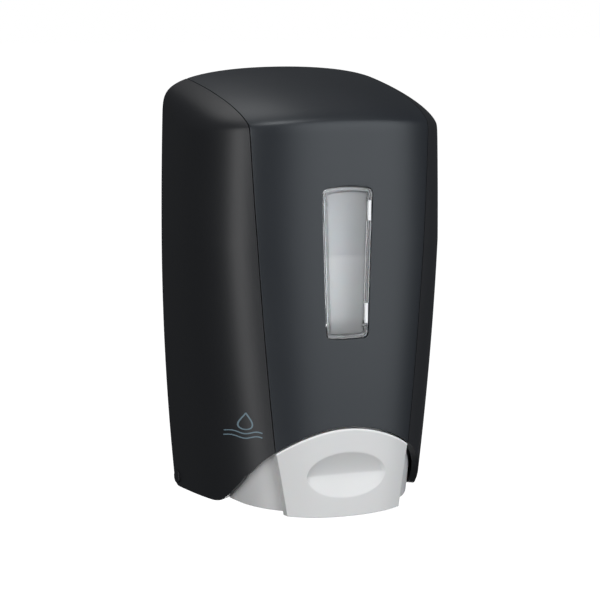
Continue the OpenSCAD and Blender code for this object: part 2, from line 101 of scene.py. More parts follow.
@dataclass(frozen=True)
class Skin:
    """The cover's outer surface: superellipses in plan and in the side view, as in the CAD shell."""

    half_w: float = 62 * MM
    depth: float = 82 * MM
    crown: float = 104 * MM
    brow: float = 80 * MM
    crown_fall: float = 5 * MM
    waist: float = 22 * MM
    foot_taper: float = 0.15
    head_taper: float = 0.013
    lean_top: float = 0.1
    lean_foot: float = -0.175
    waist_to_foot: float = 149 * MM
    waist_to_crown: float = 59 * MM
    plan_side: float = 3.0
    plan_front: float = 3.6
    crown_front: float = 1.2
    crown_top: float = 1.65
    crown_rows: float = 0.28
    brow_blur: float = 0.028
    brow_reach: float = 0.06

    def flank_share(self, z: Array) -> Array:
        """Share of the full width that is left at height z.

        Args:
            z: Height.

        Returns:
            The share.
        """
        low = 1 - self.foot_taper * ((z - self.waist) / self.waist_to_foot) ** 2
        high = 1 - self.head_taper * ((z - self.waist) / self.waist_to_crown) ** 2
        return np.where(z < self.waist, low, high)

    def lean(self, z: Array) -> Array:
        """How much the sides draw in towards the front at height z."""
        return self.lean_top + self.lean_foot * np.maximum(0, self.waist - z) / self.waist_to_foot

    def setback(self, share: Array, off: float) -> Array:
        """Distance from the front back to the plan outline at a share of the half width."""
        rest = np.clip(1 - np.abs(share) ** self.plan_side, 0, 1)
        return (self.depth - off) * (1 - rest ** (1 / self.plan_front))

    def width_factor(self, y: Array, z: Array, off: float) -> Array:
        """Half width that a share of 1 stands for at a depth and height."""
        return (self.half_w - off) * self.flank_share(z) * (1 - self.lean(z) * y / (self.depth - off))

    def place(self, share: Array, step_y: Array, step_z: Array, off: float) -> Array:
        """Points of the surface.

        Args:
            share: Signed share of the half width.
            step_y: Depth of the side view's outline.
            step_z: Height of the side view's outline.
            off: Distance inside the outer surface.

        Returns:
            An array of points, one row each.
        """
        y = step_y + self.setback(share, off)
        z = step_z - self.crown_fall * share**2
        return np.stack([share * self.width_factor(y, z, off), y, z], axis=-1)

    def share_at(self, x: Callable[[Array], Array], step_y: Array, step_z: Array, off: float) -> Array:
        """Share of the half width at which the surface reaches the half width x(z).

        Args:
            x: Half width to reach at a height.
            step_y: Depth of the side view's outline.
            step_z: Height of the side view's outline.
            off: Distance inside the outer surface.

        Returns:
            The share.
        """
        share = np.full_like(step_z, 0.6)
        for _ in range(10):
            z = step_z - self.crown_fall * share**2
            y = step_y + self.setback(share, off)
            share = np.clip(x(z) / self.width_factor(y, z, off), 0, 0.999)
        return share

    def flank_foot(self, share: Array, low: Callable[[Array, Array], Array], off: float) -> Array:
        """Height of the side view's outline at which the flank meets its lower edge low(x, y).

        Args:
            share: Signed share of the half width.
            low: Height of the lower edge at an X and a depth.
            off: Distance inside the outer surface.

        Returns:
            The height.
        """
        y = self.setback(share, off) - (self.depth - off)
        z = np.full_like(share, -0.09)
        for _ in range(12):
            z = low(share * self.width_factor(y, z, off), y)
        return z + self.crown_fall * share**2

    def side_step(self, share: Array, path: Array, foot: Array, rear: float,
                  off: float) -> tuple[Array, Array]:
        """Side view outline at a share of the way from the wall over the crown to the foot.

        Args:
            share: Signed share of the half width.
            path: 0 at the wall, 1 at the lower edge.
            foot: Height of the outline at the lower edge.
            rear: Gap to the wall.
            off: Distance inside the outer surface.

        Returns:
            Depth and height of the outline.
        """
        depth = self.depth - off
        start = np.clip((self.setback(share, off) + rear) / depth, 0, 1)
        first = np.arcsin(start ** (self.crown_front / 2))
        blur = self.brow_blur * np.exp(-(((path - self.crown_rows) / self.brow_reach) ** 2))
        step_y, step_z = np.zeros_like(path), np.zeros_like(path)
        weights = {-1.0: 0.1, -0.5: 0.24, 0.0: 0.32, 0.5: 0.24, 1.0: 0.1}
        for step, weight in weights.items():
            place = path + step * blur
            turn = first + (math.pi / 2 - first) * np.clip(place / self.crown_rows, 0, 1)
            rise = np.clip(np.cos(turn), 0, 1) ** (2 / self.crown_top)
            fall = np.clip((place - self.crown_rows) / (1 - self.crown_rows), 0, 1)
            step_y -= weight * depth * np.sin(turn) ** (2 / self.crown_front)
            step_z += weight * (self.brow + (self.crown - off - self.brow) * rise + (foot - self.brow) * fall)
        return step_y, step_z

    def wall_outline(self, off: float, low: float) -> Array:
        """Right half of the outline at the wall, from the top down to a height.

        Args:
            off: Distance inside the outer surface.
            low: Height at which it ends.

        Returns:
            X and Z of the outline, one row each.
        """
        depth = self.depth - off
        turn = np.linspace(0, math.pi / 2, 14)
        step_y = np.concatenate([-depth * np.sin(turn) ** (2 / self.crown_front), np.full(24, -depth)])
        rise = np.clip(np.cos(turn), 0, 1) ** (2 / self.crown_top)
        crown = self.brow + (self.crown - off - self.brow) * rise
        step_z = np.concatenate([crown, np.linspace(self.brow, low - 6 * MM, 25)[1:]])
        share = (1 - np.clip(1 + step_y / depth, 0, 1) ** self.plan_front) ** (1 / self.plan_side)
        z = step_z - self.crown_fall * share**2
        x = share * self.width_factor(np.zeros_like(z), z, off)
        kept = z > low
        last = np.array([[np.interp(-low, -z, x), low]])
        return np.vstack([np.column_stack([x, z])[kept], last])

    def front_y(self, x: Array, z: Array, off: float) -> Array:
        """Depth of the surface below the brow at a place given as seen from the front.

        Args:
            x: Distance from the middle.
            z: Height.
            off: Distance inside the outer surface.

        Returns:
            The depth.
        """
        depth = self.depth - off
        share = np.clip(np.abs(x) / self.half_w, 0, 0.99)
        for _ in range(12):
            y = self.setback(share, off) - depth
            share = np.clip(np.abs(x) / self.width_factor(y, z, off), 0, 0.995)
        return self.setback(share, off) - depth


@dataclass(frozen=True)
class Curves:
    """Edges of the cover as seen from the front or the side."""

    seam_mid: float = 41.2 * MM
    seam_slope: float = 0.0756
    seam_bend: float = 0.2
    seam_top: float = 48.9 * MM
    seam_gap: float = 0.35 * MM
    arch: float = -63 * MM
    arch_curve: float = 8.5
    arch_drop: float = 9.5 * MM
    arch_drop_half_w: float = 48.4 * MM
    arch_power: float = 8.5
    hem: float = -101 * MM
    toe_y: float = -42 * MM
    toe_r: float = 26 * MM
    toe_reach: float = 23.5 * MM
    heel_y: float = -5.2 * MM
    heel_z: float = -96 * MM
    heel_r: float = 5 * MM
    wall_gap: float = 0.6 * MM

    def seam_x(self, z: Array, skin: Skin) -> Array:
        """Half width of the panel at height z.

        Args:
            z: Height.
            skin: Surface that the panel lies on.

        Returns:
            The half width.
        """
        front = self.seam_mid + self.seam_slope * z - self.seam_bend * z**2
        brow = self.seam_mid + self.seam_slope * skin.brow - self.seam_bend * skin.brow**2
        top = brow + (self.seam_top - brow) * (z - skin.brow) / (skin.crown - skin.brow)
        return np.where(z > skin.brow, top, front)

    def arch_z(self, x: Array) -> Array:
        """Height of the arch over the lever."""
        drop = self.arch_drop * (np.abs(x) / self.arch_drop_half_w) ** self.arch_power
        return self.arch - self.arch_curve * x**2 - drop

    def low_edge(self, x: Array, y: Array) -> Array:
        """Height of the cover's lower edge: arch, rounded toe, hem and rounded heel.

        Args:
            x: Distance from the middle.
            y: Depth.

        Returns:
            The height.
        """
        reach = np.clip(self.toe_y - y, 0, self.toe_reach)
        toe = self.hem + self.toe_r - np.sqrt(self.toe_r**2 - reach**2)
        back = np.clip(y - self.heel_y, 0, self.heel_r * 0.95)
        heel = self.heel_z - np.sqrt(self.heel_r**2 - back**2)
        return np.maximum.reduce([self.arch_z(x), toe, heel])


@dataclass(frozen=True)
class WindowOutline:
    """Rounded and bowed outline of the window as seen from the front."""

    top_half_w: float = 13.1 * MM
    foot_half_w: float = 10.9 * MM
    top: float = 49.5 * MM
    foot: float = -21 * MM
    top_bow: float = 1.3 * MM
    foot_bow: float = 0.5 * MM
    corner_r: float = 2.5 * MM

    @property
    def mid(self) -> float:
        """Height of the middle."""
        return (self.top + self.foot) / 2

    @property
    def half_h(self) -> float:
        """Half of the height between the corners."""
        return (self.top - self.foot) / 2

    def rim(self, u: Array, v: Array, grow: float) -> tuple[Array, Array]:
        """Outline point for a point on the edge of a square from -1 to 1.

        Args:
            u: Across the square.
            v: Up the square.
            grow: Distance outside the outline.

        Returns:
            X and Z of the outline.
        """
        half_w = (self.top_half_w + self.foot_half_w) / 2 + grow
        half_h = self.half_h + grow
        radius = self.corner_r + grow
        x, z = u * half_w, v * half_h
        cx = np.sign(x) * np.maximum(0, half_w - radius)
        cz = np.sign(z) * np.maximum(0, half_h - radius)
        dx, dz = x - cx, z - cz
        corner = (np.abs(x) > half_w - radius) & (np.abs(z) > half_h - radius)
        length = np.maximum(np.hypot(dx, dz), 1e-9)
        x = np.where(corner, cx + dx * radius / length, x)
        z = np.where(corner, cz + dz * radius / length, z)
        taper = 1 + (self.top_half_w - self.foot_half_w) / (2 * half_w) * z / half_h
        bow = np.where(z > 0, self.top_bow, -self.foot_bow)
        lift = bow * (1 - (x / half_w) ** 2) * (np.abs(z) / half_h) ** 6
        return x * taper, self.mid + z + lift

    def inside(self, u: Array, v: Array, grow: float) -> tuple[Array, Array]:
        """Point inside the outline for a point of a square from -1 to 1.

        Args:
            u: Across the square.
            v: Up the square.
            grow: Distance outside the outline.

        Returns:
            X and Z of the point.
        """
        reach = np.maximum(np.maximum(np.abs(u), np.abs(v)), 1e-9)
        x, z = self.rim(u / reach, v / reach, grow)
        return x * reach, self.mid + (z - self.mid) * reach


SKIN = Skin()
CURVES = Curves()
WINDOW = WindowOutline()


# Bench: the operators that every piece uses ------------------------------------------------------


class Bench:
    """Small set of modelling steps with Blender's operators."""

    @staticmethod
    def clear() -> None:
        """Leaves edit mode and deselects everything."""
        if bpy.context.object and bpy.context.object.mode != "OBJECT":
            bpy.ops.object.mode_set(mode="OBJECT")
        bpy.ops.object.select_all(action="DESELECT")

    @staticmethod
    def take(piece: bpy.types.Object) -> None:
        """Makes a piece the only selected and active object.

        Args:
            piece: Piece to work on.
        """
        Bench.clear()
        piece.select_set(True)
        bpy.context.view_layer.objects.active = piece

    @staticmethod
    def named(name: str) -> bpy.types.Object:
        """Names the active object and its mesh.

        Args:
            name: Name of the piece.

        Returns:
            The object.
        """
        piece = bpy.context.object
        piece.name = name
        piece.data.name = name
        return piece

    @staticmethod
    def coords(piece: bpy.types.Object) -> Array:
        """Vertex places of a piece, one row each.

        Args:
            piece: Piece to work on.

        Returns:
            The places.
        """
        flat = np.empty(len(piece.data.vertices) * 3)
        piece.data.vertices.foreach_get("co", flat)
        return flat.reshape(-1, 3)

    @staticmethod
    def set_coords(piece: bpy.types.Object, places: Array) -> None:
        """Moves all vertices of a piece."""
        piece.data.vertices.foreach_set("co", np.ascontiguousarray(places).ravel())
        piece.data.update()

    @staticmethod
    def sheet(name: str, columns: int, rows: int, surface: Surface) -> bpy.types.Object:
        """A grid laid on a surface.

        Args:
            name: Name of the piece.
            columns: Faces across.
            rows: Faces up.
            surface: Turns grid places from -1 to 1 into points.

        Returns:
            The new piece, an open sheet.
        """
        Bench.clear()
        bpy.ops.mesh.primitive_grid_add(x_subdivisions=columns, y_subdivisions=rows, size=2)
        piece = Bench.named(name)
        flat = Bench.coords(piece)
        Bench.set_coords(piece, surface(flat[:, 0], flat[:, 1]))
        return piece

    @staticmethod
    def on_all(piece: bpy.types.Object, step: Callable[[], object]) -> None:
        """Runs an edit mode step on the whole mesh of a piece.

        Args:
            piece: Piece to work on.
            step: Operator call to run with all selected.
        """
        Bench.take(piece)
        bpy.ops.object.mode_set(mode="EDIT")
        bpy.ops.mesh.select_all(action="SELECT")
        step()
        bpy.ops.object.mode_set(mode="OBJECT")

    @staticmethod
    def modify(piece: bpy.types.Object, name: str, kind: str, **settings: object) -> None:
        """Adds a modifier with its settings and applies it.

        Args:
            piece: Piece to work on.
            name: Name of the modifier.
            kind: Type of the modifier.
            **settings: Its properties and their values.
        """
        Bench.take(piece)
        modifier = piece.modifiers.new(name, kind)
        for key, value in settings.items():
            setattr(modifier, key, value)
        bpy.ops.object.modifier_apply(modifier=modifier.name)

    @staticmethod
    def merge(piece: bpy.types.Object, distance: float = 0.01 * MM) -> None:
        """Merges vertices that lie together."""
        Bench.on_all(piece, lambda: bpy.ops.mesh.remove_doubles(threshold=distance))

    @staticmethod
    def face_along(piece: bpy.types.Object, away_from: Sequence[float]) -> None:
        """Turns an open sheet so that its faces look away from a point inside the body.

        Args:
            piece: Piece to work on.
            away_from: Point that the faces look away from.
        """
        middle = Vector(away_from)
        lean = sum((p.center - middle).dot(p.normal) * p.area for p in piece.data.polygons)
        if lean < 0:
            Bench.on_all(piece, bpy.ops.mesh.flip_normals)

    @staticmethod
    def outward(piece: bpy.types.Object) -> None:
        """Makes the normals of a closed piece point outwards."""
        Bench.on_all(piece, lambda: bpy.ops.mesh.normals_make_consistent(inside=False))

    @staticmethod
    def thicken(piece: bpy.types.Object, wall: float) -> None:
        """Gives an open sheet a wall that grows inwards."""
        Bench.modify(piece, "wall", "SOLIDIFY", thickness=wall, offset=-1, use_even_offset=False)

    @staticmethod
    def soften(piece: bpy.types.Object, width: float, segments: int = 2, angle: float = 40) -> None:
        """Rounds a piece's sharp edges and shades the rest smooth.

        Args:
            piece: Piece to work on.
            width: Width of the bevel.
            segments: Faces across the bevel.
            angle: Least angle in degrees of a rounded edge.
        """
        Bench.modify(piece, "edges", "BEVEL", width=width, segments=segments, limit_method="ANGLE",
                     angle_limit=math.radians(angle), harden_normals=False)
        Bench.smooth(piece)

    @staticmethod
    def smooth(piece: bpy.types.Object, angle: float = 35) -> None:
        """Shades a piece smooth but for its sharp edges."""
        Bench.take(piece)
        bpy.ops.object.shade_smooth_by_angle(angle=math.radians(angle))

    @staticmethod
    def even_normals(piece: bpy.types.Object) -> None:
        """Lets large faces rule the normals, so that flat faces look flat up to their eased edges."""
        Bench.modify(piece, "normals", "WEIGHTED_NORMAL", keep_sharp=True)

    @staticmethod
    def join(pieces: Sequence[bpy.types.Object], name: str) -> bpy.types.Object:
        """Joins pieces of one moulding into one object.

        Args:
            pieces: Pieces to join.
            name: Name of the piece.

        Returns:
            The joined object.
        """
        Bench.take(pieces[0])
        for piece in pieces:
            piece.select_set(True)
        bpy.ops.object.join()
        return Bench.named(name)


def hand_over(piece: bpy.types.Object, body: Body, finish: "Finish",
              nodes: Sequence[str] = ()) -> None:
    """Dresses a piece and ties it to its body and the CAD nodes that it stands for.

    Args:
        piece: The finished piece.
        body: The body that it moves with.
        finish: Its finish.
        nodes: CAD nodes that it replaces.
    """
    Bench.even_normals(piece)
    piece.data.materials.clear()
    piece.data.materials.append(finish.material())
    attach(piece, body.value)
    if nodes:
        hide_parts(*nodes)
    LOG.info("%s: %d faces, rides on %s", piece.name, len(piece.data.polygons), body.value)


# Finishes --------------------------------------------------------------------------------------


class NodeDesk:
    """Shared node groups and short ways to add nodes."""

    @staticmethod
    def grain() -> bpy.types.NodeTree:
        """Group that puts out the height of a fine moulded texture.

        Returns:
            The shared group.
        """
        name = "moulded_grain"
        if name in bpy.data.node_groups:
            return bpy.data.node_groups[name]
        tree = bpy.data.node_groups.new(name, "ShaderNodeTree")
        tree.interface.new_socket("Scale", in_out="INPUT", socket_type="NodeSocketFloat")
        tree.interface.new_socket("Height", in_out="OUTPUT", socket_type="NodeSocketFloat")
        ends = tree.nodes.new("NodeGroupInput"), tree.nodes.new("NodeGroupOutput")
        place = tree.nodes.new("ShaderNodeTexCoord")
        fine = tree.nodes.new("ShaderNodeTexNoise")
        fine.inputs["Detail"].default_value = 3.0
        fine.inputs["Roughness"].default_value = 0.6
        pits = tree.nodes.new("ShaderNodeTexVoronoi")
        both = tree.nodes.new("ShaderNodeMath")
        both.operation = "MULTIPLY_ADD"
        both.inputs[1].default_value = 0.6
        tree.links.new(place.outputs["Object"], fine.inputs["Vector"])
        tree.links.new(place.outputs["Object"], pits.inputs["Vector"])
        tree.links.new(ends[0].outputs["Scale"], fine.inputs["Scale"])
        tree.links.new(ends[0].outputs["Scale"], pits.inputs["Scale"])
        tree.links.new(pits.outputs["Distance"], both.inputs[0])
        tree.links.new(fine.outputs["Fac"], both.inputs[2])
        tree.links.new(both.outputs[0], ends[1].inputs["Height"])
        return tree

    @staticmethod
    def drift() -> bpy.types.NodeTree:
        """Group that puts out a colour and a roughness that wander slowly over a moulding.

        Returns:
            The shared group.
        """
        name = "tone_drift"
        if name in bpy.data.node_groups:
            return bpy.data.node_groups[name]
        tree = bpy.data.node_groups.new(name, "ShaderNodeTree")
        for label, kind in (("Light", "NodeSocketColor"), ("Dark", "NodeSocketColor"),
                            ("Scale", "NodeSocketFloat"), ("Smooth", "NodeSocketFloat"),
                            ("Rough", "NodeSocketFloat")):
            tree.interface.new_socket(label, in_out="INPUT", socket_type=kind)
        tree.interface.new_socket("Color", in_out="OUTPUT", socket_type="NodeSocketColor")
        tree.interface.new_socket("Roughness", in_out="OUTPUT", socket_type="NodeSocketFloat")
        ends = tree.nodes.new("NodeGroupInput"), tree.nodes.new("NodeGroupOutput")
        place = tree.nodes.new("ShaderNodeTexCoord")
        cloud = tree.nodes.new("ShaderNodeTexNoise")
        cloud.inputs["Detail"].default_value = 4.0
        mix = tree.nodes.new("ShaderNodeMix")
        mix.data_type = "RGBA"
        span = tree.nodes.new("ShaderNodeMapRange")
        tree.links.new(place.outputs["Object"], cloud.inputs["Vector"])
        tree.links.new(ends[0].outputs["Scale"], cloud.inputs["Scale"])
        tree.links.new(cloud.outputs["Fac"], mix.inputs["Factor"])
        tree.links.new(ends[0].outputs["Dark"], mix.inputs["A"])
        tree.links.new(ends[0].outputs["Light"], mix.inputs["B"])
        tree.links.new(cloud.outputs["Fac"], span.inputs["Value"])
        tree.links.new(ends[0].outputs["Smooth"], span.inputs["To Min"])
        tree.links.new(ends[0].outputs["Rough"], span.inputs["To Max"])
        tree.links.new(mix.outputs["Result"], ends[1].inputs["Color"])
        tree.links.new(span.outputs["Result"], ends[1].inputs["Roughness"])
        return tree

    @staticmethod
    def start(name: str) -> tuple[bpy.types.Material, bpy.types.NodeTree, bpy.types.Node]:
        """An empty material with a Principled shader on its output.

        Args:
            name: Name of the material.

        Returns:
            The material, its tree and its shader.
        """
        material = bpy.data.materials.new(name)
        material.use_nodes = True
        tree = material.node_tree
        shader = next(n for n in tree.nodes if n.type == "BSDF_PRINCIPLED")
        return material, tree, shader

    @staticmethod
    def group(tree: bpy.types.NodeTree, inner: bpy.types.NodeTree,
              values: dict[str, object]) -> bpy.types.Node:
        """Places a shared group in a material with its own values.

        Args:
            tree: The material's tree.
            inner: Shared group to place.
            values: Values of its inputs by name.

        Returns:
            The group's node.
        """
        node = tree.nodes.new("ShaderNodeGroup")
        node.node_tree = inner
        for label, value in values.items():
            node.inputs[label].default_value = value
        return node


@dataclass(frozen=True)
class Finish:
    """Moulded plastic with a fine grain and a slow drift in tone.

    Metals and rubbers use the same fields with their own values.
    """

    name: str
    color: Color
    roughness: float = 0.45
    spread: float = 0.04
    tone: float = 0.12
    grain_scale: float = 2200.0
    grain_height: float = 0.02 * MM
    grain_strength: float = 0.25
    metallic: float = 0.0
    coat: float = 0.0
    subsurface: float = 0.0
    tint: Color = (1.0, 1.0, 1.0)

    def shade(self, factor: float) -> tuple[float, float, float, float]:
        """The finish's colour, lighter or darker."""
        return (*[min(1.0, c * factor) for c in self.color], 1.0)

    def material(self) -> bpy.types.Material:
        """Builds the material once and gives it back.

        Returns:
            The material.
        """
        if self.name in bpy.data.materials:
            return bpy.data.materials[self.name]
        material, tree, shader = NodeDesk.start(self.name)
        drift = NodeDesk.group(tree, NodeDesk.drift(), {
            "Light": self.shade(1 + self.tone), "Dark": self.shade(1 - self.tone), "Scale": 18.0,
            "Smooth": self.roughness - self.spread, "Rough": self.roughness + self.spread})
        tree.links.new(drift.outputs["Color"], shader.inputs["Base Color"])
        tree.links.new(drift.outputs["Roughness"], shader.inputs["Roughness"])
        grain = NodeDesk.group(tree, NodeDesk.grain(), {"Scale": self.grain_scale})
        bump = tree.nodes.new("ShaderNodeBump")
        bump.inputs["Strength"].default_value = self.grain_strength
        bump.inputs["Distance"].default_value = self.grain_height
        tree.links.new(grain.outputs["Height"], bump.inputs["Height"])
        tree.links.new(bump.outputs["Normal"], shader.inputs["Normal"])
        shader.inputs["Metallic"].default_value = self.metallic
        shader.inputs["Coat Weight"].default_value = self.coat
        shader.inputs["Subsurface Weight"].default_value = self.subsurface
        shader.inputs["Subsurface Scale"].default_value = 1.5 * MM
        shader.inputs["Specular Tint"].default_value = (*self.tint, 1.0)
        material.diffuse_color = self.shade(1)
        self.extend(tree, shader)
        return material

    def extend(self, tree: bpy.types.NodeTree, shader: bpy.types.Node) -> None:
        """Adds what one kind of finish has beyond the others; plain ones add nothing."""

    @staticmethod
    def blend_color(tree: bpy.types.NodeTree, shader: bpy.types.Node, color: Color) -> bpy.types.NodeSocket:
        """Mixes a second colour over the base colour and gives back the mask's socket.

        Args:
            tree: The material's tree.
            shader: The material's shader.
            color: The second colour.

        Returns:
            Socket that takes the mask.
        """
        mix = tree.nodes.new("ShaderNodeMix")
        mix.data_type = "RGBA"
        mix.inputs["B"].default_value = (*color, 1.0)
        tree.links.new(shader.inputs["Base Color"].links[0].from_socket, mix.inputs["A"])
        tree.links.new(mix.outputs["Result"], shader.inputs["Base Color"])
        return mix.inputs["Factor"]


@dataclass(frozen=True)
class ClearFinish(Finish):
    """Clear moulded plastic."""

    transmission: float = 1.0
    ior: float = 1.46

    def extend(self, tree: bpy.types.NodeTree, shader: bpy.types.Node) -> None:
        """Lets light through."""
        shader.inputs["Transmission Weight"].default_value = self.transmission
        shader.inputs["IOR"].default_value = self.ior


@dataclass(frozen=True)
class PaintedHighlightFinish(Finish):
    """Moulded plastic with a painted highlight: paler where the piece's attribute marks the edge that catches
    the light.
    """

    highlight_color: Color = (0.95, 0.95, 0.945)
    # Name of the attribute that marks where the highlight is painted.
    attribute: str = "edge"

    def extend(self, tree: bpy.types.NodeTree, shader: bpy.types.Node) -> None:
        """Paints the highlight: pales the colour on the marked edge.

        Args:
            tree: The material's tree.
            shader: The material's shader.
        """
        mark = tree.nodes.new("ShaderNodeAttribute")
        mark.attribute_name = self.attribute
        tree.links.new(mark.outputs["Fac"], self.blend_color(tree, shader, self.highlight_color))


@dataclass(frozen=True)
class BottleFinish(Finish):
    """Translucent white bottle: paler below the level of the soap inside."""

    level: float = 16 * MM
    line_low: float = 0.8 * MM
    line_high: float = 1.2 * MM
    empty_color: Color = (0.575, 0.59, 0.605)

    def extend(self, tree: bpy.types.NodeTree, shader: bpy.types.Node) -> None:
        """Tints the empty part above the level.

        Args:
            tree: The material's tree.
            shader: The material's shader.
        """
        place = tree.nodes.new("ShaderNodeTexCoord")
        split = tree.nodes.new("ShaderNodeSeparateXYZ")
        span = tree.nodes.new("ShaderNodeMapRange")
        span.inputs["From Min"].default_value = self.level - self.line_low
        span.inputs["From Max"].default_value = self.level + self.line_high
        tree.links.new(place.outputs["Object"], split.inputs["Vector"])
        tree.links.new(split.outputs["Z"], span.inputs["Value"])
        tree.links.new(span.outputs["Result"], self.blend_color(tree, shader, self.empty_color))


CHARCOAL = Finish("charcoal_satin", (0.017, 0.018, 0.0205), 0.43, 0.03, 0.08)
PANEL = Finish("charcoal_panel", (0.018, 0.0205, 0.025), 0.41, 0.03, 0.08, tint=(0.92, 0.97, 1.0))
PLATE = Finish("charcoal_plate", (0.028, 0.029, 0.031), 0.55, 0.05, 0.15, 900.0)
CRADLE = Finish("charcoal_frame", (0.04, 0.041, 0.044), 0.5, 0.05, 0.12, 1200.0)
LEVER_GREY = Finish("lever_grey", (0.68, 0.68, 0.68), 0.34, 0.04, 0.02, 1500.0, 0.01 * MM, 0.15,
                    subsurface=0.05)
# Pad grey with a painted highlight: its top edge is paled to near white where the light catches it.
PAD_GREY = PaintedHighlightFinish("pad_grey", (0.735, 0.735, 0.73), 0.3, 0.05, 0.02, 1500.0, 0.01 * MM, 0.15,
                       subsurface=0.05)
WHITE_PP = Finish("white_polypropylene", (0.78, 0.79, 0.8), 0.38, 0.04, 0.03, subsurface=0.1)
GREY_ACETAL = Finish("grey_acetal", (0.33, 0.34, 0.35), 0.36, 0.04, 0.05)
ZINC = Finish("zinc_steel", (0.62, 0.63, 0.65), 0.27, 0.08, 0.1, 1200.0, metallic=1.0)
SEAL = Finish("seal_rubber", (0.03, 0.03, 0.032), 0.7, 0.08, 0.2, 1500.0)
SILICONE = Finish("silicone_amber", (0.62, 0.3, 0.12), 0.45, 0.05, 0.06, subsurface=0.2)
PRINT = Finish("blue_grey_print", (0.17, 0.25, 0.3), 0.5, 0.02, 0.04)
CLEAR = ClearFinish("clear_window", (0.95, 0.96, 0.97), 0.05, 0.02, 0.01, 300.0, 0.01 * MM, 0.02)
# Painted highlight: the right clips get an opaque near-white colour for the light that they catch; the left
# ones stay clear.
PAINTED_GLINT_CLIP = Finish("frosted_clip", (0.95, 0.96, 0.97), 0.3, 0.03, 0.02)
BOTTLE = BottleFinish("bottle_polyethylene", (0.7, 0.71, 0.715), 0.4, 0.05, 0.03, 600.0, 0.01 * MM, 0.1,
                      subsurface=0.2)


# Cover -----------------------------------------------------------------------------------------


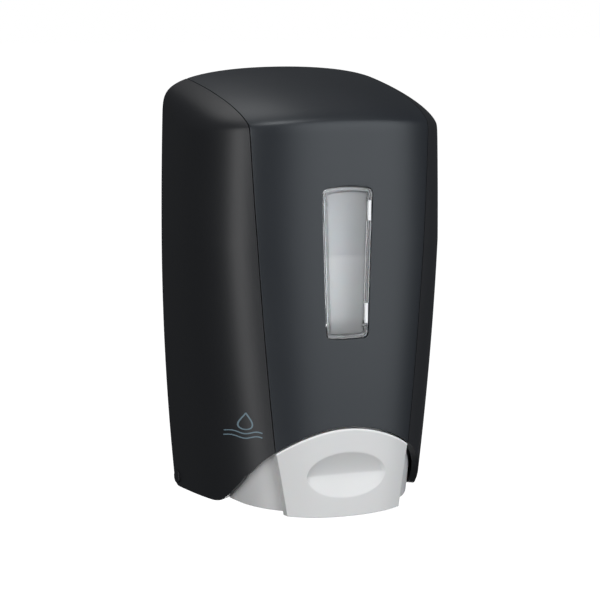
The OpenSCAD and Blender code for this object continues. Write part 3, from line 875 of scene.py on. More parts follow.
@dataclass
class CoverSkins:
    """The two cheeks, the channel behind the panel and the panel itself."""

    inside: tuple[float, float, float] = (0.0, -20 * MM, 0.0)
    cheek_wall: float = 3.4 * MM
    panel_wall: float = 1.7 * MM
    channel_off: float = 1.9 * MM
    channel_wall: float = 1.6 * MM
    channel_lap: float = 2.5 * MM
    ledge: float = 0.8 * MM
    edge: float = 0.35 * MM
    cheek_columns: int = 44
    panel_columns: int = 120
    rows: int = 190
    ring_gap: float = 2.5 * MM
    ring_share: float = 0.35
    ring_loops: int = 3
    cap_r: float = 3.2 * MM
    cap_t: float = 4 * MM
    cap_rise: float = 0.9 * MM
    share_table: Array = field(default_factory=lambda: CoverSkins.even_shares())

    @staticmethod
    def even_shares() -> Array:
        """Shares of the half width, from the seam to the wall, that are evenly spaced round the body.

        Returns:
            The shares.
        """
        share = np.sin(np.linspace(math.asin(0.64), math.pi / 2, 4000))
        line = SKIN.place(share, np.full_like(share, -SKIN.depth), np.zeros_like(share), 0.0)
        run = np.concatenate([[0], np.cumsum(np.linalg.norm(np.diff(line, axis=0), axis=1))])
        even = np.interp(np.linspace(0, run[-1], 400), run, share)
        return (even - even[0]) / (even[-1] - even[0])

    def drape(self, spread: Callable[[Array, Array], Array], path: Array, off: float) -> Array:
        """Lays grid places on the skin.

        Args:
            spread: Share of the half width for the side view's depth and height.
            path: 0 at the wall, 1 at the lower edge.
            off: Distance inside the outer surface.

        Returns:
            Points of the surface.
        """
        share = np.full_like(path, 0.5)
        step_y, step_z = np.full_like(path, -SKIN.depth), np.zeros_like(path)
        for _ in range(14):
            foot = SKIN.flank_foot(share, CURVES.low_edge, off)
            step_y, step_z = SKIN.side_step(share, path, foot, CURVES.wall_gap, off)
            share = spread(step_y, step_z)
        return SKIN.place(share, step_y, step_z, off)

    def cheek(self, side: Side) -> bpy.types.Object:
        """One side cheek, from the seam round to the wall.

        Args:
            side: Side of the dispenser.

        Returns:
            The cheek.
        """
        rear_share = (1 - (CURVES.wall_gap / SKIN.depth) ** SKIN.plan_front) ** (1 / SKIN.plan_side)

        def surface(u: Array, v: Array) -> Array:
            """Points of the cheek.

            Args:
                u: Place across the grid, from -1 to 1.
                v: Place up the grid, from -1 to 1.

            Returns:
                Points, one row each.
            """
            even = np.interp((u + 1) / 2, np.linspace(0, 1, len(self.share_table)), self.share_table)

            def spread(step_y: Array, step_z: Array) -> Array:
                """Shares of the half width from the seam to the wall."""
                seam = SKIN.share_at(lambda z: CURVES.seam_x(z, SKIN) + CURVES.seam_gap, step_y, step_z, 0.0)
                return seam + (rear_share - seam) * even

            points = self.drape(spread, (1 - v) / 2, 0.0)
            points[:, 0] *= side.value
            return points

        piece = Bench.sheet(f"cheek_{side.name.lower()}", self.cheek_columns, self.rows, surface)
        Bench.merge(piece)
        Bench.face_along(piece, self.inside)
        Bench.thicken(piece, self.cheek_wall)
        return piece

    def strip(self, name: str, columns: int, rows: int, grow: float, off: float,
              hole_grow: float) -> bpy.types.Object:
        """A strip between the seams, over the crown and down to the arch, with the window's hole.

        Args:
            name: Name of the piece.
            columns: Faces across.
            rows: Faces up.
            grow: Distance past the seam.
            off: Distance inside the outer surface.
            hole_grow: Distance outside the window's outline.

        Returns:
            The strip.
        """

        def surface(u: Array, v: Array) -> Array:
            """Points of the strip.

            Args:
                u: Place across the grid, from -1 to 1.
                v: Place up the grid, from -1 to 1.

            Returns:
                Points, one row each.
            """

            def spread(step_y: Array, step_z: Array) -> Array:
                """Shares of the half width from seam to seam."""
                return u * SKIN.share_at(lambda z: CURVES.seam_x(z, SKIN) + grow, step_y, step_z, off)

            return self.drape(spread, (1 - v) / 2, off)

        piece = Bench.sheet(name, columns, rows, surface)
        self.punch_window(piece, off, hole_grow)
        Bench.face_along(piece, self.inside)
        return piece

    def punch_window(self, piece: bpy.types.Object, off: float, hole_grow: float) -> None:
        """Cuts the window's hole with rings of faces that run from the grid to its rounded outline.

        Args:
            piece: Piece to work on.
            off: Distance inside the outer surface.
            hole_grow: Distance outside the window's outline.
        """
        half_h = WINDOW.half_h + WINDOW.top_bow + self.ring_gap
        Bench.take(piece)
        bpy.ops.object.mode_set(mode="EDIT")
        bpy.ops.mesh.select_mode(type="FACE")
        bpy.ops.mesh.select_all(action="DESELECT")
        mesh = bmesh.from_edit_mesh(piece.data)
        for face in mesh.faces:
            middle = face.calc_center_median()
            face.select = self.seam_share(middle) < self.ring_share and abs(middle.z - WINDOW.mid) < half_h
        bmesh.update_edit_mesh(piece.data)
        bpy.ops.mesh.delete(type="FACE")
        bpy.ops.mesh.select_mode(type="EDGE")
        mesh = bmesh.from_edit_mesh(piece.data)
        for edge in mesh.edges:
            middle = (edge.verts[0].co + edge.verts[1].co) / 2
            near = self.seam_share(middle) < 0.5 and abs(middle.z - WINDOW.mid) < half_h + 2 * MM
            edge.select = edge.is_boundary and near
        bmesh.update_edit_mesh(piece.data)
        rim = [v.co.copy() for v in mesh.verts if v.select]
        reach_w = max(self.seam_share(p) for p in rim)
        reach_h = max(abs(p.z - WINDOW.mid) for p in rim)
        steps = [k / self.ring_loops for k in range(1, self.ring_loops + 1)]
        done = 0.0
        for step in steps:
            bpy.ops.mesh.extrude_edges_move()
            mesh = bmesh.from_edit_mesh(piece.data)
            moved = [v for v in mesh.verts if v.select]
            if done == 0.0:
                start = {tuple(round(c, 7) for c in v.co): v.co.copy() for v in moved}
                goal = {key: self.rim_goal(p, reach_w, reach_h, hole_grow) for key, p in start.items()}
            for vert in moved:
                key = tuple(round(c, 7) for c in vert.co)
                first = start[key]
                place = first.lerp(goal[key], step)
                place.y = float(SKIN.front_y(np.array([place.x]), np.array([place.z]), off)[0])
                new_key = tuple(round(c, 7) for c in place)
                start[new_key], goal[new_key] = first, goal[key]
                vert.co = place
            bmesh.update_edit_mesh(piece.data)
            done = step
        bpy.ops.object.mode_set(mode="OBJECT")

    @staticmethod
    def seam_share(place: Vector) -> float:
        """How far out a place is, as a share of the way from the middle to the seam."""
        return abs(place.x) / float(CURVES.seam_x(np.array(place.z), SKIN))

    @staticmethod
    def rim_goal(place: Vector, reach_w: float, reach_h: float, hole_grow: float) -> Vector:
        """Place on the window's outline for a place on the four-sided hole.

        Args:
            place: Place on the four-sided hole.
            reach_w: That hole's half width as a share of the panel's.
            reach_h: That hole's half height.
            hole_grow: Distance outside the window's outline.

        Returns:
            The place on the outline.
        """
        u = math.copysign(CoverSkins.seam_share(place) / reach_w, place.x)
        v = (place.z - WINDOW.mid) / reach_h
        size = max(abs(u), abs(v))
        x, z = WINDOW.rim(np.array([u / size]), np.array([v / size]), hole_grow)
        return Vector((float(x[0]), place.y, float(z[0])))

    def hinge_cap(self, side: Side) -> bpy.types.Object:
        """Small round cap on a cheek, over the end of the hinge pin.

        Args:
            side: Side of the dispenser.

        Returns:
            The cap.
        """
        Bench.clear()
        y, z = CURVES.heel_y + 0.2 * MM, CURVES.heel_z
        x = float(SKIN.width_factor(np.array(y), np.array(z), 0.0)) + self.cap_rise - self.cap_t / 2
        bpy.ops.mesh.primitive_cylinder_add(vertices=40, radius=self.cap_r, depth=self.cap_t,
                                            location=(side.value * x, y, z), rotation=(0, math.pi / 2, 0))
        bpy.ops.object.transform_apply(location=True, rotation=True, scale=True)
        piece = Bench.named("hinge_cap")
        Bench.soften(piece, 0.4 * MM, 3)
        return piece

    def build(self) -> None:
        """Builds and dresses the shell and the panel."""
        cheeks = [self.cheek(side) for side in Side] + [self.hinge_cap(side) for side in Side]
        channel = self.strip("channel", 120, 150, self.channel_lap, self.channel_off, -self.ledge)
        Bench.thicken(channel, self.channel_wall)
        shell = Bench.join([*cheeks, channel], "cover_shell_skin")
        Bench.soften(shell, self.edge)
        hand_over(shell, Body.COVER, CHARCOAL, ["cover_shell"])
        panel = self.strip("front_panel_skin", self.panel_columns, self.rows, 0.0, 0.0, 0.0)
        Bench.thicken(panel, self.panel_wall)
        Bench.soften(panel, self.edge)
        hand_over(panel, Body.COVER, PANEL, ["front_panel"])


@dataclass
class WindowInsert:
    """Clear inset with a raised rim, and the clips that hold it."""

    wall: float = 1.6 * MM
    play: float = 0.55 * MM
    rim_w: float = 2.1 * MM
    rim_off: float = 0.15 * MM
    pane_off: float = 0.75 * MM
    crowd: float = 1.7
    clip_w: float = 1.5 * MM
    clip_h: float = 9.5 * MM
    clip_t: float = 1.2 * MM
    clip_z: tuple[float, float] = (39 * MM, -9.4 * MM)

    def pane(self) -> bpy.types.Object:
        """The pane with its raised rim.

        Returns:
            The pane.
        """

        def surface(u: Array, v: Array) -> Array:
            """Points of the pane, raised along its rim.

            Args:
                u: Place across the grid, from -1 to 1.
                v: Place up the grid, from -1 to 1.

            Returns:
                Points, one row each.
            """
            u = np.sign(u) * (1 - (1 - np.abs(u)) ** self.crowd)
            v = np.sign(v) * (1 - (1 - np.abs(v)) ** self.crowd)
            x, z = WINDOW.inside(u, v, -self.play)
            margin = np.minimum((1 - np.abs(u)) * WINDOW.foot_half_w, (1 - np.abs(v)) * WINDOW.half_h)
            rim = np.clip((self.rim_w - margin) / (0.4 * MM), 0, 1)
            off = self.pane_off + (self.rim_off - self.pane_off) * rim
            return np.stack([x, SKIN.front_y(x, z, 0.0) + off, z], axis=-1)

        piece = Bench.sheet("window_pane", 64, 130, surface)
        Bench.face_along(piece, (0.0, 0.0, WINDOW.mid))
        Bench.thicken(piece, self.wall)
        Bench.soften(piece, 0.25 * MM)
        return piece

    def clip(self, side: Side, z: float) -> bpy.types.Object:
        """One clip at the window's edge.

        Args:
            side: Side of the dispenser.
            z: Height of the clip.

        Returns:
            The clip.
        """
        half_w = WINDOW.foot_half_w + (WINDOW.top_half_w - WINDOW.foot_half_w) * (z - WINDOW.foot) / (
            WINDOW.top - WINDOW.foot)
        Bench.clear()
        x = side.value * (half_w - self.play - self.clip_w / 2 - 0.15 * MM)
        depth = self.clip_t / 2 + (0.05 * MM if side is Side.RIGHT else self.wall + self.rim_off)
        y = float(SKIN.front_y(np.array([x]), np.array([z]), 0.0)[0]) + depth
        bpy.ops.mesh.primitive_cube_add(size=1, location=(x, y, z),
                                        scale=(self.clip_w, self.clip_t, self.clip_h))
        bpy.ops.object.transform_apply(location=True, rotation=True, scale=True)
        piece = Bench.named("clip")
        Bench.soften(piece, 0.25 * MM)
        return piece

    def build(self) -> None:
        """Builds and dresses the window."""
        hand_over(self.pane(), Body.COVER, CLEAR, ["window"])
        for side in Side:
            clips = [self.clip(side, z) for z in self.clip_z]
            name = f"window_clips_{side.name.lower()}"
            # Painted highlight on the right clips only; the same clips on the left are clear.
            finish = PAINTED_GLINT_CLIP if side is Side.RIGHT else CLEAR
            hand_over(Bench.join(clips, name), Body.COVER, finish)


@dataclass
class DropMark:
    """Generic printed sign on the left cheek: a water drop over two small waves."""

    x: float = -46.5 * MM
    z: float = -64 * MM
    drop_w: float = 5.8 * MM
    drop_h: float = 9 * MM
    line_w: float = 0.55 * MM
    lift: float = 0.05 * MM
    steps: int = 96

    def line(self, name: str, path: Callable[[Array], tuple[Array, Array]]) -> bpy.types.Object:
        """A printed line that follows a path from 0 to 1 on the cheek.

        Args:
            name: Name of the piece.
            path: Gives X and Z from the mark's middle.

        Returns:
            The line.
        """
        width = self.line_w / 2
        step = 1e-3

        def surface(u: Array, v: Array) -> Array:
            """Points of the line, just off the surface.

            Args:
                u: Place across the grid, from -1 to 1.
                v: Place up the grid, from -1 to 1.

            Returns:
                Points, one row each.
            """
            share = (u + 1) / 2
            x, z = path(share)
            ahead_x, ahead_z = path(share + step)
            length = np.maximum(np.hypot(ahead_x - x, ahead_z - z), 1e-12)
            x, z = x - v * width * (ahead_z - z) / length, z + v * width * (ahead_x - x) / length
            x, z = x + self.x, z + self.z
            return np.stack([x, SKIN.front_y(x, z, 0.0) - self.lift, z], axis=-1)

        piece = Bench.sheet(name, self.steps, 2, surface)
        Bench.merge(piece, 1e-6)
        Bench.face_along(piece, (0.0, -20 * MM, self.z))
        Bench.thicken(piece, self.lift)
        return piece

    def drop(self, share: Array) -> tuple[Array, Array]:
        """Outline of the drop.

        Args:
            share: Share of the way round, from 0 to 1.

        Returns:
            X and Z from the mark's middle.
        """
        turn = 2 * math.pi * share
        x = self.drop_w / 2 * np.sin(turn) * np.abs(np.sin(turn / 2)) ** 1.6 * 1.25
        return x, self.drop_h * (0.1 + 0.9 * (np.cos(turn) + 1) / 2)

    def wave(self, low: float) -> Callable[[Array], tuple[Array, Array]]:
        """A flat wave at a height.

        Args:
            low: Height from the mark's middle.

        Returns:
            Its path.
        """
        def path(share: Array) -> tuple[Array, Array]:
            """Place on the wave for a share of its length."""
            x = self.drop_w * 1.1 * (2 * share - 1)
            return x, low + 0.55 * MM * np.sin(3 * math.pi * share)
        return path

    def build(self) -> None:
        """Builds and dresses the sign."""
        lines = [self.line("drop_outline", self.drop), self.line("wave_high", self.wave(-0.6 * MM)),
                 self.line("wave_low", self.wave(-2.8 * MM))]
        hand_over(Bench.join(lines, "drop_sign"), Body.COVER, PRINT)


# Push lever ------------------------------------------------------------------------------------


@dataclass
class PushLever:
    """The lever's wrap-round body and its pad with the oval recess."""

    off: float = 5 * MM
    wall: float = 2.4 * MM
    top: float = -53 * MM
    side_top: float = -72 * MM
    slope_y: float = -51 * MM
    back_y: float = -38 * MM
    pad_off: float = 0.1 * MM
    pad_wall: float = 4.7 * MM
    pad_top_half_w: float = 34.3 * MM
    pad_foot_half_w: float = 29.2 * MM
    pad_gap: float = 1.0 * MM
    pad_foot: float = -106 * MM
    foot_bow: float = 1.6 * MM
    recess_z: float = -86 * MM
    recess_half_w: float = 20.2 * MM
    recess_half_h: float = 10.8 * MM
    recess_depth: float = 3.3 * MM
    recess_upper: float = 1.7
    recess_lower: float = 1.15
    recess_ends: float = 0.45
    # Band along the pad's top edge that gets the painted highlight.
    highlight_w: float = 1.0 * MM
    highlight_fade: float = 0.3 * MM

    def body(self) -> bpy.types.Object:
        """The scoop whose sides go back under the cheeks.

        Returns:
            The scoop.
        """
        foot_y = np.array([-90, -73, -58, -47, -38]) * MM
        foot_z = np.array([-103.6, -103, -101, -99, -97]) * MM
        back = 1 - (-self.back_y / (SKIN.depth - self.off)) ** SKIN.plan_front
        limit = back ** (1 / SKIN.plan_side)

        def surface(u: Array, v: Array) -> Array:
            """Points of the scoop.

            Args:
                u: Place across the grid, from -1 to 1.
                v: Place up the grid, from -1 to 1.

            Returns:
                Points, one row each.
            """
            share = np.sin(u * math.asin(limit))
            y = SKIN.setback(share, self.off) - (SKIN.depth - self.off)
            high = np.interp(y, [self.slope_y, self.back_y], [self.top, self.side_top])
            low = np.interp(y, foot_y, foot_z)
            z = low + (high - low) * (v + 1) / 2
            step_y, step_z = y - SKIN.setback(share, self.off), z + SKIN.crown_fall * share**2
            return SKIN.place(share, step_y, step_z, self.off)

        piece = Bench.sheet("lever_scoop", 110, 40, surface)
        Bench.face_along(piece, (0.0, -20 * MM, -80 * MM))
        Bench.thicken(piece, self.wall)
        Bench.soften(piece, 0.5 * MM, 3)
        extras = []
        for side in Side:
            extras.append(Form.rod("lug", 4.5, Axis.X, PIVOT, side.span(38.5, 44.6), 1.55))
            extras.append(Form.rod("screw_boss", 3.4, Axis.Y, side.at(FORK_SCREW), (-76, -73), 1.3))
        return Bench.join([piece, *extras], "lever_scoop")

    def dish(self, x: Array, z: Array) -> Array:
        """Depth of the oval recess: a soft upper slope and a flat lower one that meet in a crease.

        Args:
            x: Distance from the middle.
            z: Height.

        Returns:
            The depth of the recess.
        """
        across = np.clip(1 - (x / self.recess_half_w) ** 2, 0, 1)
        reach = self.recess_half_h * np.sqrt(across) + 1e-9
        up = (z - self.recess_z) / reach
        upper = np.clip(1 - np.abs(up) ** self.recess_upper, 0, 1)
        lower = np.clip(1 - np.abs(up) ** self.recess_lower, 0, 1)
        return self.recess_depth * across**self.recess_ends * np.where(up > 0, upper, lower)

    def pad(self) -> bpy.types.Object:
        """The thick pad that the fingers push.

        Returns:
            The pad.
        """

        def surface(u: Array, v: Array) -> Array:
            """Points of the pad's front.

            Args:
                u: Place across the grid, from -1 to 1.
                v: Place up the grid, from -1 to 1.

            Returns:
                Points, one row each.
            """
            rise = (v + 1) / 2
            half_w = self.pad_foot_half_w + (self.pad_top_half_w - self.pad_foot_half_w) * rise
            x = u * half_w
            high = CURVES.arch_z(x) - self.pad_gap
            low = self.pad_foot + self.foot_bow * u**2
            z = low + (high - low) * rise
            y = SKIN.front_y(x, z, self.pad_off)
            return np.stack([x, y + self.dish(x, z), z], axis=-1)

        piece = Bench.sheet("lever_pad_skin", 150, 100, surface)
        Bench.face_along(piece, (0.0, -20 * MM, -85 * MM))
        flat = Bench.coords(piece)
        Bench.thicken(piece, self.pad_wall)
        places = Bench.coords(piece)
        count = len(flat)
        inner = flat.copy()
        inner[:, 1] = SKIN.front_y(flat[:, 0], flat[:, 2], self.pad_off) + self.pad_wall
        places[count:] = inner
        Bench.set_coords(piece, places)
        Bench.soften(piece, 0.85 * MM, 3, 50)
        # Painted highlight: the 'edge' attribute marks a band along the top edge, faded in below, which the
        # material pales to near white.
        places = Bench.coords(piece)
        rim = CURVES.arch_z(places[:, 0]) - self.pad_gap - self.highlight_w
        mark = piece.data.attributes.new("edge", "FLOAT", "POINT")
        mark.data.foreach_set("value", np.clip((places[:, 2] - rim) / self.highlight_fade, 0, 1))
        return piece

    def build(self) -> None:
        """Builds and dresses the lever."""
        hand_over(self.body(), Body.PUSH_LEVER, LEVER_GREY, ["lever_body"])
        hand_over(self.pad(), Body.PUSH_LEVER, PAD_GREY, ["lever_pad"])


# Refill and pump -------------------------------------------------------------------------------


@dataclass
class Refill:
    """The bottle and the pump's spring."""

    bottle_wall: float = 1.4 * MM
    wire_r: float = 0.55 * MM
    coil_turns: int = 7
    steps_per_turn: int = 32
    pump_y: float = -36 * MM
    bottle_power: float = 4.5
    neck_r: float = 15 * MM
    neck_top: float = -26 * MM
    foot: float = -24 * MM
    round_r: float = 12 * MM
    knots: tuple[float, ...] = (0, 0.08, 0.1, 0.12, 0.26, 0.84, 1.0)
    lid_from: float = 0.93
    lid_share: float = 0.07

    def bottle(self) -> bpy.types.Object:
        """A soft cornered bottle with a shoulder and a neck, hollow inside.

        Returns:
            The bottle.
        """
        low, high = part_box("refill_bottle")
        neck_top, foot, round_r = self.neck_top, self.foot, self.round_r
        half_w, half_d = (high.x - low.x) / 2, (high.y - low.y) / 2
        mid_y = (high.y + low.y) / 2

        def surface(u: Array, v: Array) -> Array:
            """Points of the bottle, from the neck up to the top.

            Args:
                u: Place across the grid, from -1 to 1.
                v: Place up the grid, from -1 to 1.

            Returns:
                Points, one row each.
            """
            turn = (u + 1) * math.pi
            rise = (v + 1) / 2
            part = np.interp(rise, self.knots, np.arange(len(self.knots)))
            cos, sin = np.cos(turn), np.sin(turn)
            body_x = np.sign(cos) * np.abs(cos) ** (2 / self.bottle_power)
            body_y = np.sign(sin) * np.abs(sin) ** (2 / self.bottle_power)
            bend = np.clip(part - 3, 0, 1) * math.pi / 2
            lid = np.clip(part - 5, 0, 1) * math.pi / 2
            shrink = round_r * (1 - np.sin(bend)) + round_r * (1 - np.cos(lid))
            top_close = np.clip((rise - self.lid_from) / self.lid_share, 0, 1)
            side_h = (high.z - foot - 2 * round_r) * np.clip(part - 4, 0, 1)
            z_body = foot + round_r * (1 - np.cos(bend)) + side_h + round_r * np.sin(lid)
            x_body = body_x * (half_w - shrink) * (1 - top_close)
            y_body = mid_y + body_y * (half_d - shrink) * (1 - top_close)
            x_neck, y_neck = cos * self.neck_r, self.pump_y + sin * self.neck_r
            z_neck = low.z + (neck_top - low.z) * np.clip(part, 0, 1)
            blend = np.clip(part - 2, 0, 1)
            blend = blend * blend * (3 - 2 * blend)
            x = np.where(part < 2, x_neck, x_neck + (x_body - x_neck) * blend)
            y = np.where(part < 2, y_neck, y_neck + (y_body - y_neck) * blend)
            z = np.where(part < 3, z_neck + (foot - neck_top) * blend, z_body)
            return np.stack([x, y, z], axis=-1)

        piece = Bench.sheet("bottle", 96, 140, surface)
        Bench.merge(piece, 0.02 * MM)
        Bench.face_along(piece, (0.0, mid_y, 20 * MM))
        Bench.thicken(piece, self.bottle_wall)
        Bench.smooth(piece)
        return piece

    def spring(self) -> bpy.types.Object:
        """The return spring as a closed coil of wire.

        Returns:
            The spring.
        """
        low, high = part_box("pump_spring")
        radius = (high.x - low.x) / 2 - self.wire_r
        length = high.z - low.z - 2 * self.wire_r
        Bench.clear()
        bpy.ops.mesh.primitive_circle_add(vertices=12, radius=self.wire_r, location=(0, 0, 0),
                                          rotation=(math.pi / 2, 0, 0))
        bpy.ops.object.transform_apply(location=True, rotation=True, scale=True)
        piece = Bench.named("spring_coil")
        places = Bench.coords(piece)
        places[:, 0] += radius
        Bench.set_coords(piece, places)
        steps = self.steps_per_turn * self.coil_turns
        Bench.modify(piece, "coil", "SCREW", axis="Z", angle=2 * math.pi * self.coil_turns,
                     screw_offset=length, steps=steps, render_steps=steps, use_normal_calculate=True)
        places = Bench.coords(piece)
        places[:, 1] += self.pump_y
        places[:, 2] += low.z + self.wire_r
        Bench.set_coords(piece, places)
        Bench.take(piece)
        bpy.ops.object.mode_set(mode="EDIT")
        bpy.ops.mesh.select_all(action="DESELECT")
        bpy.ops.mesh.select_non_manifold()
        bpy.ops.mesh.edge_face_add()
        bpy.ops.object.mode_set(mode="OBJECT")
        Bench.outward(piece)
        Bench.smooth(piece)
        return piece

    def build(self) -> None:
        """Builds and dresses the bottle and the spring."""
        hand_over(self.bottle(), Body.WALL_UNIT, BOTTLE, ["refill_bottle"])
        spring = self.spring()
        hand_over(spring, Body.WALL_UNIT, ZINC, ["pump_spring"])
        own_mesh(spring)


# Closed forms for the hardware -------------------------------------------------------------------


class Axis(Enum):
    """Direction that a turned or extruded form runs along."""

    X = 0
    Y = 1
    Z = 2


class Form:
    """Turned, extruded and boxed forms, all with eased edges."""

    @staticmethod
    def lay(places: Array, axis: Axis, at: Sequence[float]) -> Array:
        """Turns local places, whose third value runs along the axis, into world places.

        Args:
            places: Local places, one row each.
            axis: Axis that they run along.
            at: Where it runs, on the other two axes.

        Returns:
            World places, one row each.
        """
        first, second, along = places[:, 0] + at[0], places[:, 1] + at[1], places[:, 2]
        order = {Axis.X: (along, first, second), Axis.Y: (first, along, second),
                 Axis.Z: (first, second, along)}
        return np.stack(order[axis], axis=-1)

    @staticmethod
    def rounded(outline: Sequence[Sequence[float]], radius: float, closed: bool = True,
                steps: int = 3) -> Array:
        """Outline with its corners rounded; the ends of an open one stay sharp.

        Args:
            outline: Corners in order.
            radius: Radius of the corners.
            closed: Whether the last corner meets the first.
            steps: Steps round a corner.

        Returns:
            The outline's points.
        """
        points = np.asarray(outline, dtype=float)
        result = []
        for i, corner in enumerate(points):
            if not closed and i in (0, len(points) - 1):
                result.append(corner)
                continue
            back, ahead = points[i - 1] - corner, points[(i + 1) % len(points)] - corner
            reach = [float(np.hypot(*v)) for v in (back, ahead)]
            cut = min(radius, 0.45 * reach[0], 0.45 * reach[1])
            start, end = corner + back / reach[0] * cut, corner + ahead / reach[1] * cut
            for t in np.linspace(0, 1, steps + 1):
                result.append((1 - t) ** 2 * start + 2 * t * (1 - t) * corner + t**2 * end)
        return np.array(result)

    @staticmethod
    def turned(name: str, outline: Sequence[Sequence[float]], at: Sequence[float] = PUMP,
               axis: Axis = Axis.Z, ease: float = 0.4, steps: int = 64,
               wave: Callable[[Array, Array, Array], Array] | None = None) -> bpy.types.Object:
        """A form of revolution.

        Args:
            name: Name of the piece.
            outline: Radius and place along the axis in mm; it closes on itself unless it starts at radius 0.
            at: Where the axis runs, in mm.
            axis: Direction of the axis.
            ease: Rounding of the corners in mm.
            steps: Faces round the axis.
            wave: Changes the radius by radius, place along the axis and angle, such as for ribs.

        Returns:
            The new piece.
        """
        closed = outline[0][0] > 0
        line = Form.rounded(outline, ease, closed) if ease > 0 else np.asarray(outline, dtype=float)
        if closed:
            line = np.vstack([line, line[:1]])
        index = np.arange(len(line))

        def surface(u: Array, v: Array) -> Array:
            """Points of the form round its axis.

            Args:
                u: Place across the grid, from -1 to 1.
                v: Place up the grid, from -1 to 1.

            Returns:
                Points, one row each.
            """
            row = (v + 1) / 2 * (len(line) - 1)
            radius, along = np.interp(row, index, line[:, 0]), np.interp(row, index, line[:, 1])
            turn = (u + 1) * math.pi
            if wave:
                radius = wave(radius, along, turn)
            return np.stack([radius * np.cos(turn), radius * np.sin(turn), along], axis=-1) * MM

        piece = Bench.sheet(name, steps, len(line) - 1, surface)
        Bench.merge(piece, 1e-6)
        Bench.set_coords(piece, Form.lay(Bench.coords(piece), axis, [v * MM for v in at]))
        Bench.outward(piece)
        Bench.smooth(piece, 40)
        return piece

    @staticmethod
    def prism(name: str, outline: Sequence[Sequence[float]], axis: Axis, span: Sequence[float],
              ease: float = 0.4, cutters: Sequence[bpy.types.Object] = ()) -> bpy.types.Object:
        """An outline in mm extruded along an axis, with holes cut and edges eased.

        Args:
            name: Name of the piece.
            outline: Corners in mm on the other two axes.
            axis: Axis that it is extruded along.
            span: Its limits along the axis.
            ease: Size of the eased edges in mm.
            cutters: Forms to cut out.

        Returns:
            The piece.
        """
        Bench.clear()
        bpy.ops.mesh.primitive_circle_add(vertices=len(outline), radius=1, fill_type="NGON")
        piece = Bench.named(name)
        flat = np.column_stack([np.asarray(outline, dtype=float), np.full(len(outline), span[0])])
        Bench.set_coords(piece, flat * MM)
        rise = (0, 0, (span[1] - span[0]) * MM)
        Bench.on_all(piece, lambda: bpy.ops.mesh.extrude_region_move(TRANSFORM_OT_translate={"value": rise}))
        Bench.set_coords(piece, Form.lay(Bench.coords(piece), axis, (0, 0)))
        Bench.outward(piece)
        for cutter in cutters:
            Form.cut(piece, cutter)
        if ease > 0:
            Bench.soften(piece, ease * MM, 2, 30)
        return piece

    @staticmethod
    def box(name: str, x: Sequence[float], y: Sequence[float], z: Sequence[float], ease: float = 0.4,
            cutters: Sequence[bpy.types.Object] = ()) -> bpy.types.Object:
        """A block between limits in mm."""
        outline = [(x[0], y[0]), (x[1], y[0]), (x[1], y[1]), (x[0], y[1])]
        return Form.prism(name, outline, Axis.Z, z, ease, cutters)

    @staticmethod
    def rod(name: str, radius: float, axis: Axis, at: Sequence[float], span: Sequence[float],
            bore: float = 0.0, ease: float = 0.3) -> bpy.types.Object:
        """A round bar or a sleeve, in mm."""
        outline = [(bore, span[0]), (radius, span[0]), (radius, span[1]), (bore, span[1])]
        return Form.turned(name, outline, at, axis, ease, 48)

    @staticmethod
    def cut(piece: bpy.types.Object, cutter: bpy.types.Object) -> None:
        """Cuts a form out of a piece."""
        Bench.modify(piece, "cut", "BOOLEAN", operation="DIFFERENCE", solver="EXACT", object=cutter)
        bpy.data.objects.remove(cutter, do_unlink=True)

    @staticmethod
    def screw(name: str, at: Sequence[float], tip: float, seat: float, radius: float,
              head_r: float) -> bpy.types.Object:
        """A screw along Y with a thread, a domed head and a cross recess.

        Args:
            name: Name of the piece.
            at: X and Z in mm.
            tip: Depth of the tip.
            seat: Depth of the face under the head.
            radius: Radius of the shank.
            head_r: Radius of the head.

        Returns:
            The screw.
        """
        head = math.copysign(0.62 * head_r, seat - tip)
        toward = math.copysign(1.0, head)
        pitch, depth, run_out = 1.1, 0.28, 0.4
        shank = [(radius, y) for y in np.linspace(tip + 0.8 * toward, seat, 40)]
        dome = [(head_r * 0.98, seat + head * 0.4), (head_r * 0.75, seat + head * 0.85)]
        outline = [(0.0, tip), (radius * 0.35, tip), *shank, (head_r, seat), *dome, (0.0, seat + head)]

        def thread(r: Array, along: Array, turn: Array) -> Array:
            """Cuts the thread into the shank.

            Args:
                r: Radius.
                along: Place along the axis.
                turn: Angle round the axis.

            Returns:
                Radius with the thread.
            """
            phase = (along / pitch + turn / (2 * math.pi)) % 1
            on_shank = ((seat - along) * toward > run_out) & (r > radius * 0.9)
            return np.where(on_shank, r - depth * np.abs(2 * phase - 1), r)

        piece = Form.turned(name, outline, at, Axis.Y, 0, 48, thread)
        top = sorted((seat + head + toward, seat + head * 0.35))
        arm, half = head_r * 0.58, 0.17 * head_r
        for x, z in ((arm, half), (half, arm)):
            Form.cut(piece, Form.box("recess", (at[0] - x, at[0] + x), top, (at[1] - z, at[1] + z), 0))
        Bench.smooth(piece, 40)
        return piece


# Wall unit -------------------------------------------------------------------------------------


